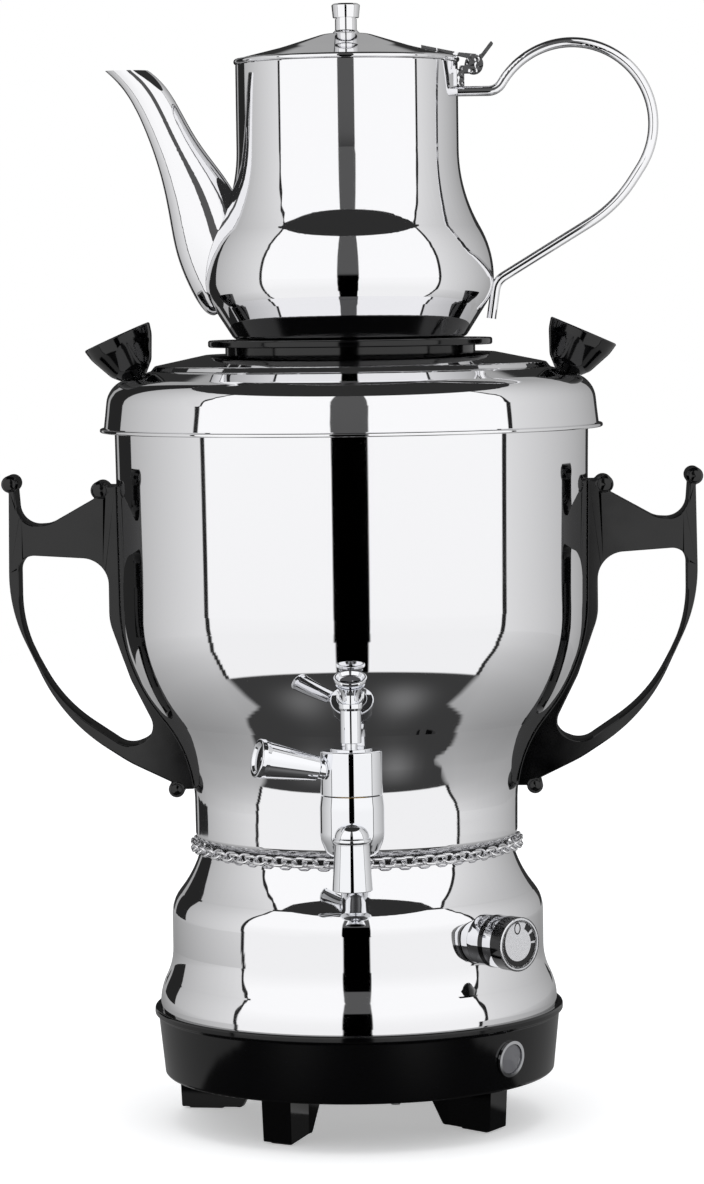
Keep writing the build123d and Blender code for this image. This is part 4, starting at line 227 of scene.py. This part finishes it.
def skin(name, stations, body, material, ring=False):
    """Closed piece through stations: P[i, j] is point j of the closed section at station i.

    Quads join P[i, j] to its neighbours; a ring joins its last station to its first,
    and any other path is closed by a face at each end.
    """
    count, sides = stations.shape[:2]
    index = np.arange(count * sides).reshape(count, sides)
    ahead = np.roll(index, -1, 0) if ring else index[1:]
    here = index if ring else index[:-1]
    corners = [here, np.roll(here, -1, 1), np.roll(ahead, -1, 1), ahead]
    quads = np.stack(corners, -1).reshape(-1, 4)
    ends = [] if ring else [index[0][::-1].tolist(), index[-1].tolist()]
    mesh = bpy.data.meshes.new(name)
    mesh.from_pydata(stations.reshape(-1, 3).tolist(), [], quads.tolist() + ends)
    shell = bmesh.new()
    shell.from_mesh(mesh)
    bmesh.ops.remove_doubles(shell, verts=shell.verts, dist=JOIN_WITHIN)
    bmesh.ops.recalc_face_normals(shell, faces=shell.faces)
    shell.to_mesh(mesh)
    shell.free()
    mesh.polygons.foreach_set("use_smooth", np.ones(len(mesh.polygons), bool))
    mesh.set_sharp_from_angle(angle=SMOOTH_UP_TO)
    piece = bpy.data.objects.new(name, mesh)
    bpy.context.scene.collection.objects.link(piece)
    paint(piece, material)
    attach(piece, body)


KNOB_AZIMUTH = radians(43)
KNOB_FOOT_R = 82.7          # mm from the upright axis to the sheet that the knob stands on
KNOB_REACH = 20.6           # mm from that sheet to the knob's rim
DIAL_SUNK = 0.5             # mm from the rim back to the ground of the dial
KNOB_OUT = np.array([sin(KNOB_AZIMUTH), -cos(KNOB_AZIMUTH), 0.0])
KNOB_RIGHT = np.array([cos(KNOB_AZIMUTH), sin(KNOB_AZIMUTH), 0.0])
UP = np.array([0.0, 0.0, 1.0])
KNOB_FACE = (np.array([0.0, AXIS_Y, middle("knob_cap").z])
             + KNOB_OUT * (KNOB_FOOT_R + KNOB_REACH - DIAL_SUNK) * MM)
PLATE_R = 10.2 * MM
PLATE = 0.10 * MM           # how far the dial's plate stands up
PLATE_FOOT = 0.2            # its lower face, as a share of that
PLATE_SIDES = 96
INK = 0.05 * MM             # thickness of the print, half of it sunk into the plate
ARC_STEP = 3                # degrees of one step along a printed arc
ARC_STEPS_LEAST = 4
ZERO_PLACE = (-0.8, 6.9)    # mm to the right of the dial's centre and above it
ZERO_HALF = (1.6, 2.3)      # mm, half width and half height of the numeral
ZERO_STROKE = 0.6           # mm
ZERO_SIDES = 48
PRINT_RISE = np.array([-0.5, -0.5, 0.5, 0.5]) * INK + PLATE


def on_dial(across, up, rise):
    """Point on the knob's face: across to the right, up, and rise in front, all arrays."""
    return (KNOB_FACE + across[..., None] * KNOB_RIGHT + up[..., None] * UP
            + rise[..., None] * KNOB_OUT)


def dial_plate():
    """Satin disc: two circles (R sin t, R cos t) of radius PLATE_R, its lower and upper rim."""
    turn = np.linspace(0, 2 * pi, PLATE_SIDES + 1)[:-1]
    circles = [on_dial(PLATE_R * np.sin(turn), PLATE_R * np.cos(turn), 0 * turn + rise)
               for rise in (PLATE_FOOT * PLATE, PLATE)]
    skin("dial_plate", np.stack(circles), "control_knob", satin_aluminium)


def dial_arc(name, start, end, inner, outer):
    """Printed arc, INK thick, clockwise from start to end in degrees from the top.

    At the share t of its way its section runs from the radius a + (b - a) t^3 to outer, in
    mm, where inner is (a, b).
    """
    t = np.linspace(0, 1, max(int(abs(end - start) / ARC_STEP), ARC_STEPS_LEAST) + 1)
    turn = np.radians(start + (end - start) * t)[:, None]
    low = inner[0] + (inner[1] - inner[0]) * t ** 3
    radii = np.stack([low, outer + 0 * t], -1)[:, [0, 1, 1, 0]] * MM
    rise = np.broadcast_to(PRINT_RISE, radii.shape)
    points = on_dial(radii * np.sin(turn), radii * np.cos(turn), rise)
    skin(name, points, "control_knob", dial_ink)


def dial_zero():
    """Numeral zero: an oval ring round ZERO_PLACE with half axes ZERO_HALF, INK thick."""
    turn = np.linspace(0, 2 * pi, ZERO_SIDES + 1)[:-1, None]
    stroke = np.array([-0.5, 0.5, 0.5, -0.5]) * ZERO_STROKE
    across = (ZERO_PLACE[0] + (ZERO_HALF[0] + stroke) * np.sin(turn)) * MM
    up = (ZERO_PLACE[1] + (ZERO_HALF[1] + stroke) * np.cos(turn)) * MM
    rise = np.broadcast_to(PRINT_RISE, across.shape)
    points = on_dial(across, up, rise)
    skin("dial_zero", points, "control_knob", dial_ink, ring=True)


dial_plate()
dial_arc("dial_arc_long", 92, 328, (7.1, 9.5), 10.1)
dial_arc("dial_mark_high", 60, 86, (7.0, 7.0), 10.0)
dial_arc("dial_mark_top", 27, 52, (7.0, 7.0), 10.0)
dial_zero()


# ------------------------------------------------------------------ studio

# The metal mirrors a round tent: two white panels in front with a dark gap for the camera
# between them, grey sides, a black back and a dark table. Only reflections see the tent.
TENT_R = 1.0
TENT_TOP = 1.42
WALL_ROWS, WALL_STEP = 70, 0.5          # grid of the wall; steps are degrees
CEILING_ROWS, CEILING_SIDES = 5, 72
CEILING_TONE = 0.03

PANEL_LEFT = 70.5                       # azimuth of the left panel's outer edge
PANEL_RIGHT = 74.5
PANEL_TONE = 1.0                        # brightness at the floor
PANEL_LIFT = (0.1, 0, 0.4)              # added to it, from this height to this one
STRIP = 2.4                             # degrees of black edge outside each panel
STRIP_TONE = 0.02
GAP = 8.3                               # azimuth of each panel's inner edge
GAP_LIFT = (0.10, 0.455, 0.475)         # grey of the gap, from this height to this one
SIDE = (0.80, 0.38)                     # brightness beside the panels and SIDE_FALL further
SIDE_FALL = 75.0
FLAG = (-150, -128)                     # azimuths of the black flag's two edges
FLAG_TONE = 0.02
BACK_FROM = 155                         # the back wall lies beyond this azimuth
BACK_TONE = 0.03
BACK_LIFT = (0.35, 0.78, 0.83)          # added to it, from this height to this one

FLOOR_R = 2.4
FLOOR_ROWS, FLOOR_STEP = 181, 0.8
FLOOR_COLOUR = "#fbfbfb"
FLOOR_LIFT = 0.38                       # glow that makes the floor white to the camera
DARK_FLOOR_R = 0.36                     # reach of the dark table in front of the object
EDGE_RADII = [0.36, 0.42, 0.62, 1.0]    # where the panels' edges on the floor are given
LEFT_EDGES = [64.5, 65.5, 69.0, PANEL_LEFT]
RIGHT_EDGES = [63.5, 65.0, 71.0, PANEL_RIGHT]
GAP_RADII, GAP_EDGES = [0.36, 1.0], [7.6, GAP]
SHADE_RADII = [0.12, 0.2, 0.3, 0.42, 0.68, 1.0]
SHADES = [0.48, 0.5, 0.58, 0.72, 0.9, 1.0]   # share of the sides' brightness at those radii
SIDE_FROM = 72.0                        # azimuth where the floor's grey sides are brightest
TABLE_TONE = 0.045
TABLE_RADII = [0.10, 0.165, 0.185, 0.212, 0.26, 0.36]
TABLE_EDGES = [82, 76, 71, 55, 59, 65]  # azimuth of the table's sides at those radii
TABLE_BLUR = (1.5, 2.5)                 # degrees of blur inside and outside of its edge
PATCH_TONE = (0.10, 0.13)               # paler patch on the table's left and on its right
PATCH_AZIMUTH, PATCH_WIDTH = 27.0, 13.0
PATCH_R, PATCH_DEPTH = 0.22, 0.06


def grid_mesh(name, points, tone):
    """Stage piece through a grid of points; tone is a brightness kept at each point.

    Quads join point (i, j) to its neighbours, and the last j to the first.
    """
    rows, columns = tone.shape
    here = np.arange(rows * columns).reshape(rows, columns)
    side = np.roll(here, -1, 1)
    faces = np.stack([here[:-1], here[1:], side[1:], side[:-1]], -1).reshape(-1, 4)
    mesh = bpy.data.meshes.new(name)
    mesh.from_pydata(points.reshape(-1, 3).tolist(), [], faces.tolist())
    level = mesh.attributes.new("tone", "FLOAT", "POINT")
    level.data.foreach_set("value", tone.ravel().astype(np.float32))
    piece = bpy.data.objects.new(name, mesh)
    bpy.context.scene.collection.objects.link(piece)
    return piece


def tone_glow(tree):
    """White glow as strong as the brightness kept at the points."""
    level = add(tree, "ShaderNodeAttribute", {"attribute_name": "tone"})
    return add(tree, "ShaderNodeEmission", Color=WHITE, Strength=(level, "Fac"))


def seen_in_metal(card):
    """Let a card be seen in reflections alone, glowing by its own brightness."""
    material, tree, output = new_material(card.name + "_light")
    tree.links.new(tone_glow(tree).outputs["Emission"], output.inputs["Surface"])
    card.data.materials.append(material)
    card.visible_camera = False
    card.visible_diffuse = False
    card.visible_shadow = False
    card.visible_transmission = False


def round_axis(radius, azimuth, height):
    """Points at radius R and azimuth a in radians: (R sin a, AXIS_Y - R cos a, height)."""
    return np.stack([radius * np.sin(azimuth), AXIS_Y - radius * np.cos(azimuth), height], -1)


def ramp(value, low, high):
    """0 up to low, 1 from high, and straight between them."""
    return np.clip((value - low) / (high - low), 0, 1)


def lift(height, amount):
    """amount is (tone, low, high): this tone, faded in between two heights."""
    return amount[0] * ramp(height, amount[1], amount[2])


def side_tone(beyond):
    """Brightness of the grey sides this many degrees beyond their start."""
    return SIDE[0] + (SIDE[1] - SIDE[0]) * ramp(beyond, 0, SIDE_FALL)


def panels(azimuth, left, right, gap, white, middle_grey):
    """Two panels from gap out to left and right, black strips outside them, grey sides."""
    away = np.abs(azimuth)
    edge = np.where(azimuth < 0, left, right)
    tone = side_tone(away - edge - STRIP)
    tone = np.where(away < edge + STRIP, STRIP_TONE, tone)
    tone = np.where(away < edge, white, tone)
    return np.where(away < gap, middle_grey, tone)


def wall_tone(azimuth, height):
    """Brightness of the tent's wall at an azimuth and a height.

    The panels are a little duller towards the floor, and the gap between them is black below
    and dark grey above. A black flag hangs at the back on the left, and the back wall is
    black below and grey above.
    """
    tone = panels(azimuth, PANEL_LEFT, PANEL_RIGHT, GAP,
                  PANEL_TONE + lift(height, PANEL_LIFT), lift(height, GAP_LIFT))
    tone = np.where((azimuth > FLAG[0]) & (azimuth < FLAG[1]), FLAG_TONE, tone)
    return np.where(np.abs(azimuth) > BACK_FROM, BACK_TONE + lift(height, BACK_LIFT), tone)


def floor_tone(azimuth, r):
    """Brightness that metal shows of the floor at an azimuth and a radius.

    The panels and the grey sides run on from the wall and lean inwards, and the sides fall
    towards the object. In front of it lies the dark table, narrowest at 0.21 m, with a paler
    patch on either side of its middle.
    """
    away = np.abs(azimuth)
    left = np.interp(r, EDGE_RADII, LEFT_EDGES)
    right = np.interp(r, EDGE_RADII, RIGHT_EDGES)
    beyond = panels(azimuth, left, right, np.interp(r, GAP_RADII, GAP_EDGES), PANEL_TONE, 0.0)
    side = side_tone(away - SIDE_FROM) * np.interp(r, SHADE_RADII, SHADES)
    beyond = np.where(away > np.where(azimuth < 0, left, right) + STRIP, side, beyond)
    patch = np.exp(-((away - PATCH_AZIMUTH) / PATCH_WIDTH) ** 2
                   - ((r - PATCH_R) / PATCH_DEPTH) ** 2)
    table = TABLE_TONE + np.where(azimuth < 0, PATCH_TONE[0], PATCH_TONE[1]) * patch
    edge = np.interp(r, TABLE_RADII, TABLE_EDGES)
    inside = table + (side - table) * ramp(away, edge - TABLE_BLUR[0], edge + TABLE_BLUR[1])
    return np.where(r < DARK_FLOOR_R, inside, beyond)


def make_tent_wall():
    """Round wall of the tent: round_axis at radius TENT_R, from the floor to TENT_TOP."""
    height, azimuth = np.meshgrid(np.linspace(0, TENT_TOP, WALL_ROWS),
                                  np.arange(-180, 180, WALL_STEP), indexing="ij")
    points = round_axis(TENT_R, np.radians(azimuth), height)
    seen_in_metal(grid_mesh("tent_wall", points, wall_tone(azimuth, height)))


def make_tent_ceiling():
    """Dark ceiling of the tent: round_axis at radii u TENT_R, u from 0 to 1, at TENT_TOP."""
    u, v = np.meshgrid(np.linspace(0.0, 1.0, CEILING_ROWS),
                       np.linspace(0, 2 * pi, CEILING_SIDES + 1)[:-1], indexing="ij")
    points = round_axis(TENT_R * u, v, 0 * u + TENT_TOP)
    seen_in_metal(grid_mesh("tent_ceiling", points, 0 * u + CEILING_TONE))


def make_floor():
    """Round pale floor at z = 0: round_axis at radii FLOOR_R u^2, u from 0 to 1.

    The camera sees it matt with a little glow of its own, reflections see its kept
    brightness, and all other light sees it matt.
    """
    u, azimuth = np.meshgrid(np.linspace(0.0, 1.0, FLOOR_ROWS) ** 2,
                             np.arange(-180, 180, FLOOR_STEP), indexing="ij")
    r = FLOOR_R * u
    points = round_axis(r, np.radians(azimuth), 0 * r)
    floor = grid_mesh("floor", points, floor_tone(azimuth, r))
    material, tree, output = new_material("pale_floor")
    paths = add(tree, "ShaderNodeLightPath")
    matt = add(tree, "ShaderNodeBsdfDiffuse", Color=linear(FLOOR_COLOUR))
    glow = add(tree, "ShaderNodeEmission", Color=WHITE, Strength=FLOOR_LIFT)
    glowing = add(tree, "ShaderNodeAddShader", i0=(matt, "BSDF"), i1=(glow, "Emission"))
    shown = add(tree, "ShaderNodeMixShader", i0=(paths, "Is Camera Ray"), i1=(matt, "BSDF"),
                i2=(glowing, "Shader"))
    both = add(tree, "ShaderNodeMixShader", i0=(paths, "Is Glossy Ray"), i1=(shown, "Shader"),
               i2=(tone_glow(tree), "Emission"))
    tree.links.new(both.outputs["Shader"], output.inputs["Surface"])
    floor.data.materials.append(material)


BACKDROP_STRENGTH = 1.0
ROOM_COLOUR = "#f2f3f5"
ROOM_STRENGTH = 0.85


def make_world():
    """White backdrop to the camera, to reflections and through glass; pale room light else."""
    world = bpy.data.worlds.new("studio")
    bpy.context.scene.world = world
    world.use_nodes = True
    sky = world.node_tree
    sky.nodes.clear()
    paths = add(sky, "ShaderNodeLightPath")
    backdrop = add(sky, "ShaderNodeBackground", Color=WHITE, Strength=BACKDROP_STRENGTH)
    room = add(sky, "ShaderNodeBackground", Color=linear(ROOM_COLOUR), Strength=ROOM_STRENGTH)
    direct = add(sky, "ShaderNodeMath", {"operation": "MAXIMUM"},
                 i0=(paths, "Is Camera Ray"), i1=(paths, "Is Glossy Ray"))
    through = add(sky, "ShaderNodeMath", {"operation": "MAXIMUM"},
                  i0=(direct, "Value"), i1=(paths, "Is Transmission Ray"))
    view = add(sky, "ShaderNodeMixShader", i0=(through, "Value"), i1=(room, "Background"),
               i2=(backdrop, "Background"))
    output = add(sky, "ShaderNodeOutputWorld")
    sky.links.new(view.outputs["Shader"], output.inputs["Surface"])


LAMP_PLACE = (0.0, -0.3, 1.9)
LAMP_AIM = (0, AXIS_Y, 0.2)
LAMP_SIZE = 1.2
LAMP_WATTS = 9.0


def turned_to(place, aim):
    """Rotation of a lamp or camera that stands at place and looks at aim."""
    return (Vector(aim) - Vector(place)).to_track_quat("-Z", "Y")


def make_top_lamp():
    """Soft square lamp above the object, which reflections don't see."""
    light = bpy.data.lights.new("top_lamp", "AREA")
    light.shape = "SQUARE"
    light.size = LAMP_SIZE
    light.energy = LAMP_WATTS
    lamp = bpy.data.objects.new("top_lamp", light)
    lamp.location = LAMP_PLACE
    lamp.rotation_euler = turned_to(LAMP_PLACE, LAMP_AIM).to_euler()
    lamp.visible_glossy = False
    bpy.context.scene.collection.objects.link(lamp)


make_tent_wall()
make_tent_ceiling()
make_world()
make_floor()
make_top_lamp()


# ------------------------------------------------------------------ camera

SENSOR = 36.0                           # mm, across the frame's longer side
FRAME_PIXELS = 1184                     # longer side of the frame
LENS_PIXELS = 4200                      # focal length in the same pixels
CAMERA_AWAY = 1.862                     # from the upright axis
CAMERA_ORBIT = radians(1.0)
CAMERA_HEIGHT = 0.368
CAMERA_AIM = (-0.0007, AXIS_Y, 0.236)
CAMERA_ROLL = radians(-0.78)


def make_camera():
    """Camera with a long lens, a little above the object's middle and rolled by a trace."""
    lens = bpy.data.cameras.new("camera")
    lens.sensor_width = SENSOR
    lens.lens = SENSOR * LENS_PIXELS / FRAME_PIXELS
    camera = bpy.data.objects.new("camera", lens)
    bpy.context.scene.collection.objects.link(camera)
    camera.location = (CAMERA_AWAY * sin(CAMERA_ORBIT),
                       AXIS_Y - CAMERA_AWAY * cos(CAMERA_ORBIT), CAMERA_HEIGHT)
    camera.rotation_mode = "QUATERNION"
    roll = Quaternion((0, 0, 1), CAMERA_ROLL)
    camera.rotation_quaternion = turned_to(camera.location, CAMERA_AIM) @ roll
    bpy.context.scene.camera = camera


make_camera()
bpy.context.scene.view_settings.view_transform = "Standard"
